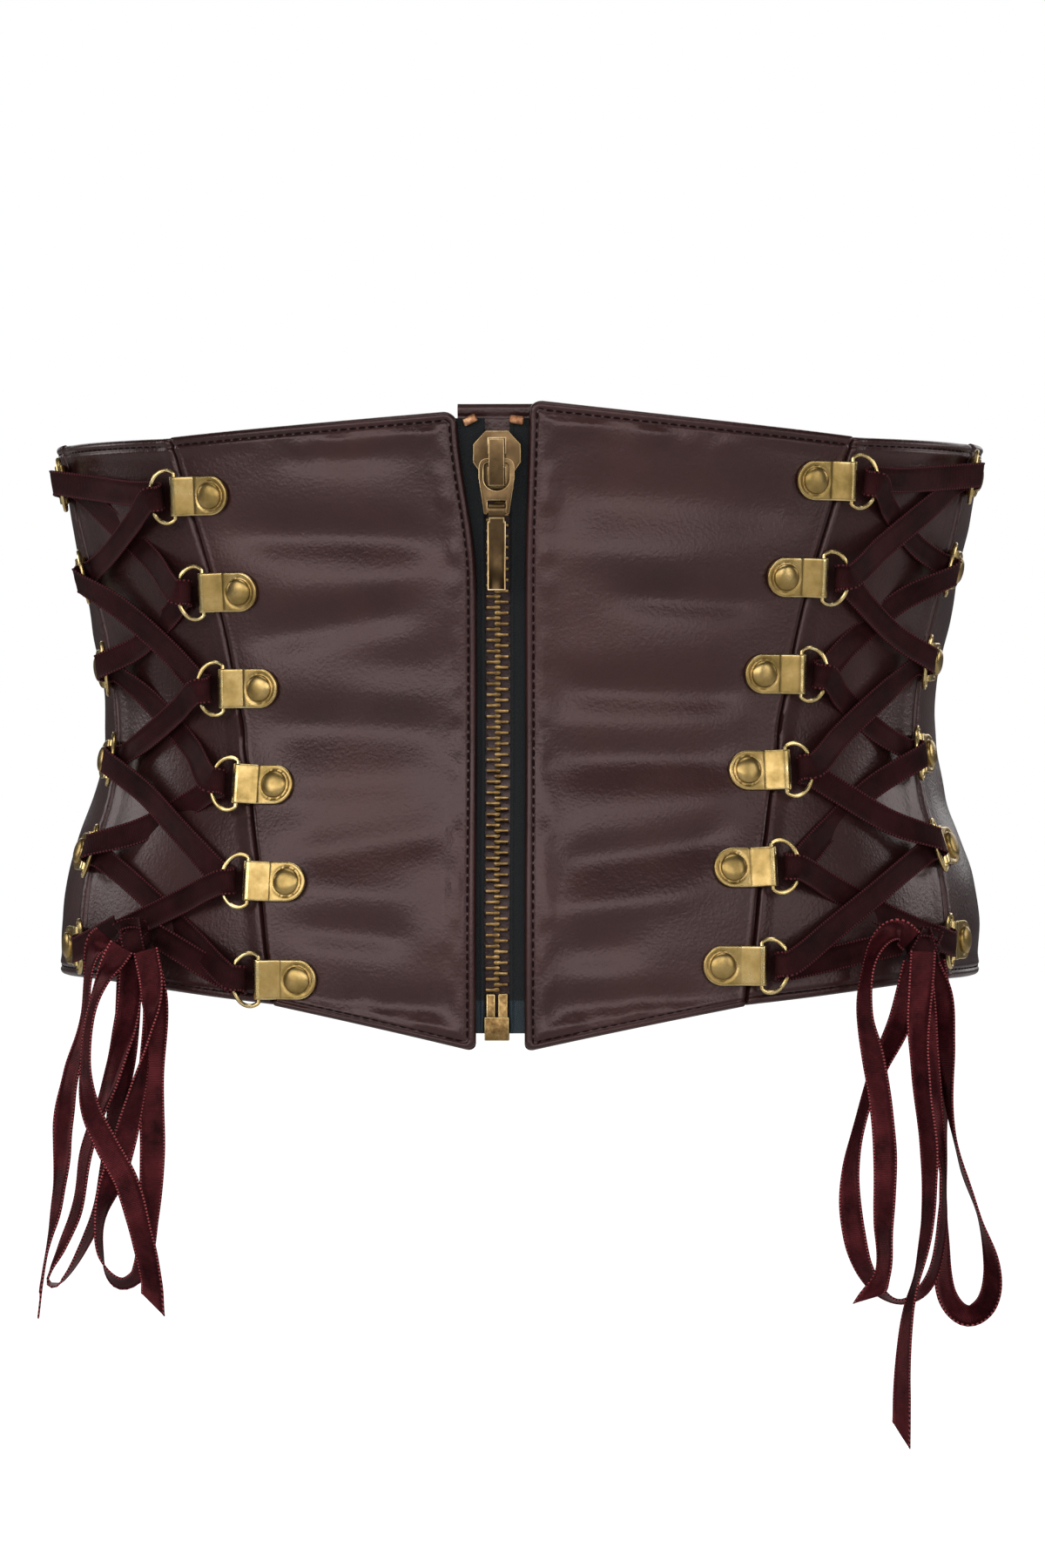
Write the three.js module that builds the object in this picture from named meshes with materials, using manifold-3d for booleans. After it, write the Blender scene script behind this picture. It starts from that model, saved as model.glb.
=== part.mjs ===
// A worn corset belt: leather panels round the waist, an open ended zip at the front, and ribbon lacing
// between two columns of tabbed D rings on each side, tied in hanging bows.
// Millimetres, +Z up, origin on the belt's middle axis at the waist, the front towards -Y, +X to the
// right of someone who faces it.
import * as THREE from "three";
import { mergeVertices } from "three/addons/utils/BufferGeometryUtils.js";
import Module from "manifold-3d";

const wasm = await Module();
wasm.setup();

// Body form: half width and depths at the waist, and how far each grows to the top and to the hem
const waistHalfWidth = 118;
const topFlare = 13;
const hemFlare = 11.5;
const waistFrontDepth = 88;
const topFrontGrowth = 4;
const hemFrontGrowth = 6;
const waistBackDepth = 74;
const topBackGrowth = 15;
const hemBackGrowth = 21;
const roundness = 2.3;

// Heights of the edges from the waist
const sideTop = 83;
const centreHem = -84;
const seamHem = -72;
const sideHem = -66;
const leftCornerTop = 89;
const rightCornerTop = 92;

// Leather, and the small gap kept between pieces
const leather = 2;
const gap = 0.3;
const seamLap = 7;

// Zip: its middle lies a little to the left of the belt's own
const zipMiddle = -3;
const toothPitch = 2.95;
const toothHeight = 1.1;
const toothDepth = 2.9;
const toothReach = 0.8;
const chainHalf = 3.3;
const spineWide = 1;
const tapeThick = 0.8;
const tapeWide = 13;
const guardThick = 1.6;
const chainTop = 75.5;
const chainBottom = -68;
const tapeBottom = -79;
const sliderHalfWidth = 6.5;
const sliderHalfHeight = 8;
const plateThick = 1.4;
const backPlateThick = 0.8;
const bridgeWide = 4.4;
const bridgeRoom = 2.8;
const bridgeThick = 1;
const linkWide = 9.7;
const linkThick = 1.2;
const linkDrop = 13.5;
const linkEyeLong = 7.6;
const pullerWide = 4.9;
const pullerLong = 21.5;
const pullerThick = 1.5;
const stopWide = 4;
const stopHigh = 2.4;
const stopThick = 1.6;
const boxHigh = 6.3;
const pinWide = 2.5;
const pinLong = 10.5;

// The slider stands at the chain's top, the stops above it and the tape's end above the stops
const sliderMiddle = chainTop;
const stopHeight = sliderMiddle + sliderHalfHeight + stopHigh / 2 + 1.7;
const tapeTop = stopHeight + stopHigh / 4;

// Tabbed D ring
const tabHigh = 10.8;
const tabReach = 10.8;
const tabThick = 1;
const rivetRadius = 3.65;
const rivetRise = 1.5;
const rivetInset = 8;
const wireRadius = 0.62;
const foldRadius = 1.4;
const ringHalfHeight = 7.2;
const ringDepth = 7.2;
const ringBelly = 2.4;
const ringLift = 1.2;
const ringSeat = 0.15;
const ringRows = 6;
const frontRingTop = 68;
const frontRingStep = 26.3;
const rearRingTop = 72.5;
const rearRingStep = 25.8;
// The photograph shows the right columns a little higher than the left
const ringShift = { front: { left: -1.2, right: 2.7 }, rear: { left: -0.6, right: 1.2 } };

// Ribbon
const ribbonWide = 7;
const ribbonThick = 0.8;
const laceOver = 1.5;
const laceUnder = 0.7;
const laceTurn = { out: 2.1, back: 4, slant: 0.8 };

const upright = new THREE.Vector3(0, 0, 1);
const rad = THREE.MathUtils.degToRad;
const mix = THREE.MathUtils.lerp;

// Growth of the body from the waist, as shares of the height and of the growth
const riseShares = [
  { level: 0, grown: 0 },
  { level: 0.24, grown: 0.08 },
  { level: 0.5, grown: 0.4 },
  { level: 0.72, grown: 0.7 },
  { level: 1, grown: 1 },
];
const dropShares = [
  { level: 0, grown: 0 },
  { level: 0.18, grown: 0.22 },
  { level: 0.34, grown: 0.62 },
  { level: 0.5, grown: 0.93 },
  { level: 0.68, grown: 1.03 },
  { level: 1, grown: 0.9 },
];

// Where the seams run above and below the waist: degrees round the section by share of the height
const seams = {
  front: {
    above: [
      { level: 0, grown: 38.2 }, { level: 0.19, grown: 39.6 }, { level: 0.5, grown: 41.2 },
      { level: 0.82, grown: 43.9 }, { level: 1, grown: 45.4 },
    ],
    below: [
      { level: 0, grown: 38.2 }, { level: 0.13, grown: 36.7 }, { level: 0.44, grown: 32.2 },
      { level: 0.76, grown: 30.1 }, { level: 1, grown: 28.8 },
    ],
  },
  rear: {
    above: [
      { level: 0, grown: 70.5 }, { level: 0.19, grown: 71.5 }, { level: 0.5, grown: 73.4 },
      { level: 0.82, grown: 75.8 }, { level: 1, grown: 77.4 },
    ],
    below: [
      { level: 0, grown: 70.5 }, { level: 0.13, grown: 69.9 }, { level: 0.44, grown: 68.2 },
      { level: 0.76, grown: 67.4 }, { level: 1, grown: 67 },
    ],
  },
};

// The two front panels: edge from the zip's middle, its flare at the top and the corner's roundness
const fronts = [
  { name: "left", side: -1, edge: 5.6, flare: 5.2, corner: 4, top: leftCornerTop },
  { name: "right", side: 1, edge: 7.5, flare: 1.2, corner: 3.5, top: rightCornerTop },
];

// Soft folds pressed into the front panels: heights as shares of the panel's reach above or below the
// waist, places across as shares from the front edge to the seam, slopes and widths as shares of the
// widest fold, depths as shares of the deepest
const foldWide = 10;
const foldDeep = 2.2;
const folds = [
  { side: -1, height: 0.86, from: 0.35, to: 0.75, slope: 0, wide: 0.5, deep: 0.55 },
  { side: -1, height: 0.66, from: 0, to: 1, slope: 0.2, wide: 0.7, deep: 1 },
  { side: -1, height: 0.38, from: 0.4, to: 1.1, slope: -0.9, wide: 0.6, deep: 0.73 },
  { side: -1, height: 0.05, from: 0.1, to: 1, slope: 0.3, wide: 0.8, deep: 0.82 },
  { side: -1, height: -0.3, from: 0.1, to: 0.9, slope: -0.6, wide: 0.7, deep: 0.73 },
  { side: -1, height: -0.62, from: 0.3, to: 0.9, slope: 0.5, wide: 0.6, deep: 0.59 },
  { side: -1, height: -0.86, from: 0, to: 0.8, slope: -0.3, wide: 0.5, deep: 0.55 },
  { side: 1, height: 0.75, from: 0.05, to: 1, slope: -0.4, wide: 1, deep: 1 },
  { side: 1, height: 0.45, from: 0.4, to: 1, slope: -0.3, wide: 0.5, deep: 0.68 },
  { side: 1, height: 0.15, from: 0, to: 0.9, slope: -0.2, wide: 0.6, deep: 0.77 },
  { side: 1, height: -0.06, from: 0.1, to: 0.8, slope: 0, wide: 0.6, deep: 0.64 },
  { side: 1, height: -0.34, from: 0.1, to: 0.9, slope: 0.8, wide: 0.7, deep: 0.82 },
  { side: 1, height: -0.66, from: 0, to: 0.5, slope: 0.4, wide: 0.8, deep: 0.68 },
  { side: 1, height: -0.86, from: 0.1, to: 0.7, slope: 0.2, wide: 0.5, deep: 0.55 },
];

// Routes of the hanging ribbons, chosen by hand: place in mm and the turn of the ribbon's face
const hanging = {
  left_loop_outer: [
    [-103.4, -73.9, -59.5, 0], [-104.5, -76, -75, 20], [-109.5, -77.4, -94, 50],
    [-115.5, -78, -112, 60], [-118, -78.4, -128, 60], [-122, -78.2, -138, 70], [-125.4, -77.2, -144.6, 82],
    [-125.8, -76, -148, 88], [-123, -75, -148.2, 88], [-117.5, -74, -140, 75], [-112, -73.6, -126, 65],
    [-109, -73.6, -108, 60], [-105.5, -73.2, -86, 30], [-104, -72.2, -59, 0],
  ],
  left_loop_inner: [
    [-99.4, -77.4, -57.2, 0], [-97.6, -79.8, -66, 15], [-97.8, -80.6, -78, 70], [-101.5, -82, -96, 125],
    [-106.4, -82.8, -115, 165], [-111, -83, -129, 115], [-111, -82.6, -140, 90],
    [-106.5, -81.4, -147.4, 60], [-101, -79.4, -145, 60], [-98.6, -78.8, -130, 40],
    [-97.4, -78.2, -112, 20], [-97.8, -77.6, -92, 10], [-96.6, -77.8, -72, 0], [-99.2, -76, -58.8, 0],
  ],
  left_tail_outer: [
    [-110.5, -74.6, -53.2, -20], [-114, -72.8, -56.6, 40], [-115.6, -71.6, -66, 70],
    [-116.6, -71, -79, 58], [-120.4, -70.6, -91, 44], [-122.6, -70.4, -104, 34],
    [-123, -70.2, -116, 46], [-124.6, -70, -128, 66], [-127, -69.8, -140, 80],
    [-129.2, -69.8, -154.6, 82],
  ],
  left_tail_inner: [
    [-105.8, -78.8, -56.2, 0], [-110.6, -81.8, -65, 50], [-114, -84, -76, 66], [-115, -85, -88, 62],
    [-113.6, -85.6, -100, 30], [-109, -86, -110, 10], [-103.6, -86, -120, 15], [-99.6, -85.8, -134, 25],
    [-97, -85.4, -147, 25], [-96.6, -85.2, -153, 25],
  ],
  right_loop_inner: [
    [110.4, -67, -60.8, 0], [106.4, -67.6, -76, 20], [100.6, -68.4, -89, 50], [95.6, -69.6, -103, 68],
    [92.8, -70.4, -117, 50], [93, -70.8, -131, 28], [96.6, -70.6, -144.4, 45],
    [104.4, -69.4, -152.6, 75], [112.6, -67.6, -149.6, 60], [117, -66.4, -138, 65],
    [118, -66, -120, 75], [115, -65, -96, 40], [111.6, -65.2, -62, 0],
  ],
  right_loop_outer: [
    [114, -63.4, -61.8, 0], [117.4, -60.6, -70, 10], [118.4, -59.8, -82, 35], [119.8, -59.4, -101, 72],
    [123, -59.6, -116, 84], [128, -60, -131, 82], [131.6, -60.2, -145, 55], [130, -59.6, -154.4, 40],
    [124.2, -58, -157.6, 40], [119, -56.4, -151, 45], [118.2, -55.4, -134, 70], [118.6, -55, -112, 78],
    [118.4, -55.2, -90, 60], [117.6, -56.6, -74, 30], [115.2, -61.4, -60.2, 0],
  ],
  right_tail_inner: [
    [109.2, -68.4, -54.6, 0], [104.4, -71.6, -53.6, 30], [100.2, -74.2, -56.4, 50],
    [97.2, -76.4, -63, 62], [96.4, -76.8, -74, 55], [98.6, -76, -86, 30], [100.8, -74.8, -99, 30],
    [102, -75.2, -113, 25], [101.6, -75.6, -131, 40], [101.4, -77, -144, 60], [97.4, -77, -151.6, 30],
  ],
  right_tail_outer: [
    [112.4, -69.4, -57.6, 0], [111.8, -72.4, -67, 20], [111, -75.4, -80, 40], [112, -77, -95, 45],
    [113.8, -78, -112, 50], [113.4, -78.6, -129, 62], [111.4, -78.8, -142, 75], [108, -78.8, -155, 68],
    [106.6, -78.6, -170, 56], [106.2, -78.4, -188.4, 48],
  ],
};
const knots = {
  left: { at: new THREE.Vector3(-103, -74.4, -54.4), ring: new THREE.Vector3(5.6, 4, 4.6) },
  right: { at: new THREE.Vector3(112.6, -64.6, -56.8), ring: new THREE.Vector3(5.4, 4, 4.6) },
};

// A smooth curve through a table's rows
function through(rows, at) {
  const last = rows.length - 1;
  let k = 0;
  while (k < last - 1 && at > rows[k + 1].level) k += 1;
  const [a, b] = [rows[k], rows[k + 1]];
  const slope = (p, q) => (q.grown - p.grown) / (q.level - p.level);
  const slopeIn = k > 0 ? slope(rows[k - 1], b) : 0;
  const slopeOut = k + 2 <= last ? slope(a, rows[k + 2]) : slope(a, b);
  const span = b.level - a.level;
  const t = THREE.MathUtils.clamp((at - a.level) / span, 0, 1.3);
  const rise = (t * t * t - 2 * t * t + t) * slopeIn * span + (t * t * t - t * t) * slopeOut * span;
  return a.grown * (2 * t * t * t - 3 * t * t + 1) + b.grown * (3 * t * t - 2 * t * t * t) + rise;
}

// The body's section at a height: its half width and its depths in front and behind
function section(z) {
  const above = z > 0;
  const grown = above ? through(riseShares, z / sideTop) : through(dropShares, z / centreHem);
  return {
    half: waistHalfWidth + grown * (above ? topFlare : hemFlare),
    front: waistFrontDepth + grown * (above ? topFrontGrowth : hemFrontGrowth),
    back: waistBackDepth + grown * (above ? topBackGrowth : hemBackGrowth),
  };
}

// A point of the body, from the turn seen from the axis (0 at the front, to the right) and the height
function skin(turn, z, out) {
  const { half, front, back } = section(z);
  const depth = Math.cos(turn) > 0 ? front : back;
  const [sx, sy] = [Math.sin(turn), -Math.cos(turn)];
  const scale = (Math.abs(sx / half) ** roundness + Math.abs(sy / depth) ** roundness) ** (-1 / roundness);
  const normal = new THREE.Vector3(
    Math.sign(sx) * Math.abs(sx) ** (roundness - 1) / half ** roundness,
    Math.sign(sy) * Math.abs(sy) ** (roundness - 1) / depth ** roundness,
    0,
  ).normalize();
  return new THREE.Vector3(sx * scale, sy * scale, z).addScaledVector(normal, out);
}

// The turn at which the front of the body has a given x
function turnAtX(x, z) {
  const { half, front } = section(z);
  return Math.atan2(x, front * (1 - Math.abs(x / half) ** roundness) ** (1 / roundness));
}

// The turn of a seam at a height, on the side asked for
function seamTurn(seam, side, z) {
  const degrees = z > 0 ? through(seam.above, z / sideTop) : through(seam.below, z / centreHem);
  return turnAtX(side * section(z).half * Math.sin(rad(degrees)), z);
}

// A closed wall on a grid: pointAt takes shares across and up and 0 outside or 1 inside
function wall(acrossShares, upShares, pointAt) {
  const [m, n] = [acrossShares.length, upShares.length];
  const points = [];
  for (const layer of [0, 1])
    for (const up of upShares) for (const across of acrossShares) points.push(pointAt(across, up, layer));
  const id = (i, j, layer) => layer * m * n + j * m + i;
  const faces = [];
  const quad = (a, b, c, d) => faces.push(a, b, c, a, c, d);
  for (let j = 0; j + 1 < n; j += 1)
    for (let i = 0; i + 1 < m; i += 1) {
      quad(id(i, j, 0), id(i + 1, j, 0), id(i + 1, j + 1, 0), id(i, j + 1, 0));
      quad(id(i, j, 1), id(i, j + 1, 1), id(i + 1, j + 1, 1), id(i + 1, j, 1));
    }
  for (let i = 0; i + 1 < m; i += 1) {
    quad(id(i, 0, 0), id(i, 0, 1), id(i + 1, 0, 1), id(i + 1, 0, 0));
    quad(id(i, n - 1, 0), id(i + 1, n - 1, 0), id(i + 1, n - 1, 1), id(i, n - 1, 1));
  }
  for (let j = 0; j + 1 < n; j += 1) {
    quad(id(0, j, 0), id(0, j + 1, 0), id(0, j + 1, 1), id(0, j, 1));
    quad(id(m - 1, j, 0), id(m - 1, j, 1), id(m - 1, j + 1, 1), id(m - 1, j + 1, 0));
  }
  return closed(points, faces);
}

// A geometry from points and faces, turned to face outwards
function closed(points, faces) {
  const at = (k) => points[faces[k]];
  let volume = 0;
  for (let k = 0; k < faces.length; k += 3) volume += at(k).dot(at(k + 1).clone().cross(at(k + 2)));
  if (volume < 0) for (let k = 0; k < faces.length; k += 3) faces.splice(k, 2, faces[k + 1], faces[k]);
  return new THREE.BufferGeometry().setFromPoints(points).setIndex(faces);
}

const even = (count) => Array.from({ length: count + 1 }, (_, k) => k / count);
const crowdedStart = (count) => even(count).map((share) => share ** 1.4);
const crowdedEnds = (count) => even(count).map((share) => (1 - Math.cos(Math.PI * share)) / 2);

// Joined and cut solids
function solid(geometry) {
  const bare = geometry.clone();
  bare.deleteAttribute("normal");
  bare.deleteAttribute("uv");
  const merged = mergeVertices(bare, 1e-4);
  return new wasm.Manifold(
    new wasm.Mesh({
      numProp: 3,
      vertProperties: merged.attributes.position.array,
      triVerts: new Uint32Array(merged.index.array),
    }),
  );
}

function geometryOf(made) {
  const mesh = made.getMesh();
  return new THREE.BufferGeometry()
    .setAttribute("position", new THREE.BufferAttribute(mesh.vertProperties, 3))
    .setIndex(new THREE.BufferAttribute(mesh.triVerts, 1));
}

const join = (geometries) => geometryOf(geometries.map(solid).reduce((sum, next) => sum.add(next)));

function block(wide, deep, high, x, y, z) {
  return new THREE.BoxGeometry(wide, deep, high).translate(x, y, z);
}

// An outline in x and z, given thickness along y about the plane y = middle
function plate(shape, thick, middle) {
  return new THREE.ExtrudeGeometry(shape, { depth: thick, bevelEnabled: false, curveSegments: 8 })
    .rotateX(Math.PI / 2)
    .translate(0, middle + thick / 2, 0);
}

// A closed loop of round wire in a plane facing z
function wireLoop(centres, radius, sides) {
  const count = centres.length;
  const points = [];
  const faces = [];
  centres.forEach((centre, k) => {
    const along = centres[(k + 1) % count].clone().sub(centres[(k + count - 1) % count]).normalize();
    const aside = along.clone().cross(upright).normalize();
    const over = aside.clone().cross(along);
    for (let s = 0; s < sides; s += 1) {
      const angle = (2 * Math.PI * s) / sides;
      const spoke = aside.clone().multiplyScalar(Math.cos(angle)).addScaledVector(over, Math.sin(angle));
      points.push(centre.clone().addScaledVector(spoke, radius));
      const [a, b] = [k * sides + s, k * sides + ((s + 1) % sides)];
      const [c, d] = [((k + 1) % count) * sides + s, ((k + 1) % count) * sides + ((s + 1) % sides)];
      faces.push(a, c, b, b, c, d);
    }
  });
  return closed(points, faces);
}

// A flat ribbon through places, each with the way that its face looks
function ribbon(stops, wide, thick) {
  const points = [];
  stops.forEach(({ at, face }, k) => {
    const before = stops[Math.max(k - 1, 0)].at;
    const after = stops[Math.min(k + 1, stops.length - 1)].at;
    const along = after.clone().sub(before).normalize();
    const across = face.clone().cross(along).normalize().multiplyScalar(wide / 2);
    const up = along.clone().cross(across).normalize().multiplyScalar(thick / 2);
    for (const [a, u] of [[-1, -1], [1, -1], [1, 1], [-1, 1]])
      points.push(at.clone().addScaledVector(across, a).addScaledVector(up, u));
  });
  // Both broad sides are split along the same diagonal, so that a twist keeps the ribbon's thickness
  const faces = [];
  const [broadBack, sides] = [2, 4];
  for (let k = 0; k + 1 < stops.length; k += 1)
    for (let s = 0; s < sides; s += 1) {
      const [a, b] = [4 * k + s, 4 * k + ((s + 1) % sides)];
      if (s === broadBack) faces.push(a, b, b + 4, a, b + 4, a + 4);
      else faces.push(a, b, a + 4, b, b + 4, a + 4);
    }
  const end = 4 * (stops.length - 1);
  faces.push(0, 2, 1, 0, 3, 2, end, end + 1, end + 2, end, end + 2, end + 3);
  return closed(points, faces);
}

// Places with the ribbon's face turned about its own way, where no turn looks to the front
function turned(route) {
  const places = route.map(([x, y, z]) => new THREE.Vector3(x, y, z));
  return places.map((at, k) => {
    const before = places[Math.max(k - 1, 0)];
    const after = places[Math.min(k + 1, places.length - 1)];
    const along = after.clone().sub(before).normalize();
    const front = new THREE.Vector3(0, -1, 0).projectOnPlane(along).normalize();
    return { at, face: front.applyAxisAngle(along, rad(route[k][3])) };
  });
}

// How deep the folds press a front panel in at a place
function foldDepth(side, across, z) {
  const reach = z > 0 ? sideTop : -centreHem;
  let depth = 0;
  for (const fold of folds.filter((row) => row.side === side)) {
    const middle = (fold.from + fold.to) / 2;
    const half = (fold.to - fold.from) / 2;
    const level = fold.height * reach + fold.slope * foldWide * (across - middle);
    const aside = THREE.MathUtils.smoothstep(half - Math.abs(across - middle), -0.12, 0.12);
    depth += fold.deep * foldDeep * aside * Math.exp(-(((z - level) / (fold.wide * foldWide)) ** 2));
  }
  const clearOfTape = THREE.MathUtils.smoothstep(across, 0.19, 0.36);
  const clearOfSeam = 1 - THREE.MathUtils.smoothstep(across, 0.6, 0.76);
  return depth * clearOfTape * clearOfSeam;
}

function frontPanel({ side, edge, flare, corner, top }) {
  const edgeX = (z) => zipMiddle + side * (edge + flare * THREE.MathUtils.smoothstep(z, sideTop / 2, top));
  return wall(crowdedStart(11), even(16), (across, up, layer) => {
    const roughWide = section(0).half * Math.sin(rad(seams.front.below[0].grown));
    const inset = Math.min(across * roughWide, corner);
    const drop = corner - Math.sqrt(corner ** 2 - (corner - inset) ** 2);
    const upper = mix(top, sideTop, across) - drop;
    const lower = mix(centreHem, seamHem, across) + drop * 0.6;
    const z = mix(lower, upper, up);
    const turn = mix(turnAtX(edgeX(z), z), seamTurn(seams.front, side, z), across);
    return skin(turn, z, -layer * leather - foldDepth(side, across, z));
  });
}

function sidePanel(side) {
  return wall(even(8), even(12), (across, up, layer) => {
    const z = mix(mix(seamHem, sideHem, across), sideTop - gap, up);
    const lap = (side * seamLap) / waistHalfWidth;
    const turn = mix(seamTurn(seams.front, side, z) - lap, seamTurn(seams.rear, side, z) + lap, across);
    return skin(turn, z, -(layer + 1) * leather - gap);
  });
}

function backPanel() {
  return wall(crowdedEnds(16), even(12), (across, up, layer) => {
    const z = mix(sideHem, sideTop, up);
    const start = seamTurn(seams.rear, 1, z);
    return skin(mix(start, 2 * Math.PI - start, across), z, -layer * leather);
  });
}

// Depth of the belt's front along the zip, where y is this much behind out = 0
const zipFace = (z) => skin(turnAtX(zipMiddle, z), z, 0).y;

function strip(from, to, low, high, outer, thick, shares) {
  return wall(shares, even(9), (across, up, layer) => {
    const z = mix(low, high, up);
    const x = zipMiddle + mix(from, to, across);
    return skin(turnAtX(x, z), z, outer(across) - layer * thick);
  });
}

const teethFront = -leather - gap - tapeThick / 2 + toothDepth / 2;
const teethBack = teethFront - toothDepth;

// One row of teeth on its spine, made level by level: a tooth and then a bare stretch of spine
function toothRow(side) {
  const columns = [chainHalf, chainHalf - spineWide, -toothReach].map((x) => zipMiddle + side * x);
  const levels = [chainBottom];
  const start = chainBottom + 0.2 + (side > 0 ? toothPitch / 2 : 0);
  for (let z = start; z < chainTop - toothHeight - 0.2; z += toothPitch) levels.push(z, z + toothHeight);
  levels.push(chainTop);
  const points = [];
  for (const z of levels)
    for (const out of [teethFront, teethBack])
      for (const x of columns) points.push(new THREE.Vector3(x, zipFace(z) - out, z));
  const id = (level, layer, column) => level * 6 + layer * 3 + column;
  const faces = [];
  const quad = (a, b, c, d) => faces.push(a, b, c, a, c, d);
  const last = levels.length - 1;
  for (let k = 0; k < last; k += 1) {
    const inner = k % 2 ? 2 : 1;
    for (let c = 0; c < inner; c += 1) {
      quad(id(k, 0, c), id(k, 0, c + 1), id(k + 1, 0, c + 1), id(k + 1, 0, c));
      quad(id(k, 1, c), id(k + 1, 1, c), id(k + 1, 1, c + 1), id(k, 1, c + 1));
    }
    quad(id(k, 0, inner), id(k, 1, inner), id(k + 1, 1, inner), id(k + 1, 0, inner));
    quad(id(k, 0, 0), id(k + 1, 0, 0), id(k + 1, 1, 0), id(k, 1, 0));
    if (k % 2) {
      quad(id(k, 0, 1), id(k, 1, 1), id(k, 1, 2), id(k, 0, 2));
      quad(id(k + 1, 0, 1), id(k + 1, 0, 2), id(k + 1, 1, 2), id(k + 1, 1, 1));
    }
  }
  quad(id(0, 0, 0), id(0, 1, 0), id(0, 1, 1), id(0, 0, 1));
  quad(id(last, 0, 0), id(last, 0, 1), id(last, 1, 1), id(last, 1, 0));
  return closed(points, faces);
}

// Zip hardware is drawn about x = 0 with y towards the body and set on the zip's middle
const plateBack = teethFront + gap;
const plateFront = plateBack + plateThick;
const backPlateFront = teethBack - gap;
const pivotOut = plateFront + bridgeRoom / 2;

function outline(points) {
  return new THREE.Shape(points.map(([x, z]) => new THREE.Vector2(x, z)));
}

function slider() {
  const [w, h] = [sliderHalfWidth, sliderHalfHeight];
  const mouth = w * 0.7;
  const sunk = bridgeThick / 5;
  const mirrored = (half) => outline([...half, ...half.map(([x, z]) => [-x, z]).reverse()]);
  const frontHalf = [[mouth, -h], [mouth, -h * 0.42], [w, -h * 0.06], [w, h * 0.55], [w / 2, h]];
  const backHalf = [[mouth, -h], [mouth, h * 0.2], [w * 0.4, h]];
  const face = plate(mirrored(frontHalf), plateThick, -(plateBack + plateFront) / 2);
  const back = plate(mirrored(backHalf), backPlateThick, -(backPlateFront - backPlateThick / 2));
  const postDeep = plateBack - backPlateFront + backPlateThick;
  const post = block(chainHalf * 0.7, postDeep, h / 2, 0, -(plateBack + backPlateFront) / 2, h / 2);
  const lipDeep = plateBack + leather - sunk;
  const lipX = mouth - backPlateThick / 2;
  const lipY = lipDeep / 2 - plateBack - sunk;
  const lips = [-1, 1].map((side) => block(backPlateThick, lipDeep, h, side * lipX, lipY, -h / 2));
  const [bridgeFoot, bridgeHead, window] = [-h * 0.86, h * 0.74, bridgeRoom * 0.75];
  const crown = bridgeRoom + bridgeThick;
  const arch = [
    [bridgeFoot, -sunk], [bridgeFoot, crown], [bridgeHead, crown], [bridgeHead, -sunk],
    [window, -sunk], [window, bridgeRoom], [-window, bridgeRoom], [-window, -sunk],
  ];
  const bridge = new THREE.ExtrudeGeometry(outline(arch), { depth: bridgeWide, bevelEnabled: false });
  bridge.applyMatrix4(new THREE.Matrix4().makeBasis(
    new THREE.Vector3(0, 0, 1), new THREE.Vector3(0, -1, 0), new THREE.Vector3(1, 0, 0),
  ));
  bridge.translate(-bridgeWide / 2, -plateFront, 0);
  return join([face, back, post, ...lips, bridge]);
}

// The link: an eye at the top and a slotted foot, drawn with its pivot at the origin
function pullerLink() {
  const half = linkWide / 2;
  const bar = linkThick / 2;
  const footHalf = half * 0.7;
  const holeHalf = half - 1.3;
  const slotHalf = pullerWide / 2;
  const slotTop = -linkDrop + pullerThick + linkThick;
  const foot = -linkDrop - 1;
  const shape = new THREE.Shape();
  shape.moveTo(-footHalf, foot);
  shape.lineTo(-slotHalf, foot);
  shape.lineTo(-slotHalf, -linkDrop - bar);
  shape.lineTo(slotHalf, -linkDrop - bar);
  shape.lineTo(slotHalf, foot);
  shape.lineTo(footHalf, foot);
  shape.lineTo(half, -half);
  shape.lineTo(half, -half / 2);
  shape.quadraticCurveTo(half, bar, half / 2, bar);
  shape.lineTo(-half / 2, bar);
  shape.quadraticCurveTo(-half, bar, -half, -half / 2);
  shape.lineTo(-half, -half);
  const eye = new THREE.Path();
  eye.moveTo(holeHalf, -half);
  eye.lineTo(holeHalf, -half / 2);
  eye.quadraticCurveTo(holeHalf, -bar, holeHalf - half / 4, -bar);
  eye.lineTo(half / 4 - holeHalf, -bar);
  eye.quadraticCurveTo(-holeHalf, -bar, -holeHalf, -half / 2);
  eye.lineTo(-holeHalf, -half);
  eye.absellipse(0, -half, holeHalf, linkEyeLong + bar - half, Math.PI, 2 * Math.PI, false);
  const slot = new THREE.Path();
  slot.moveTo(-slotHalf, slotTop);
  slot.lineTo(slotHalf, slotTop);
  slot.lineTo(slotHalf, bar - linkDrop);
  slot.lineTo(-slotHalf, bar - linkDrop);
  shape.holes.push(eye, slot);
  return plate(shape, linkThick, 0);
}

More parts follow.
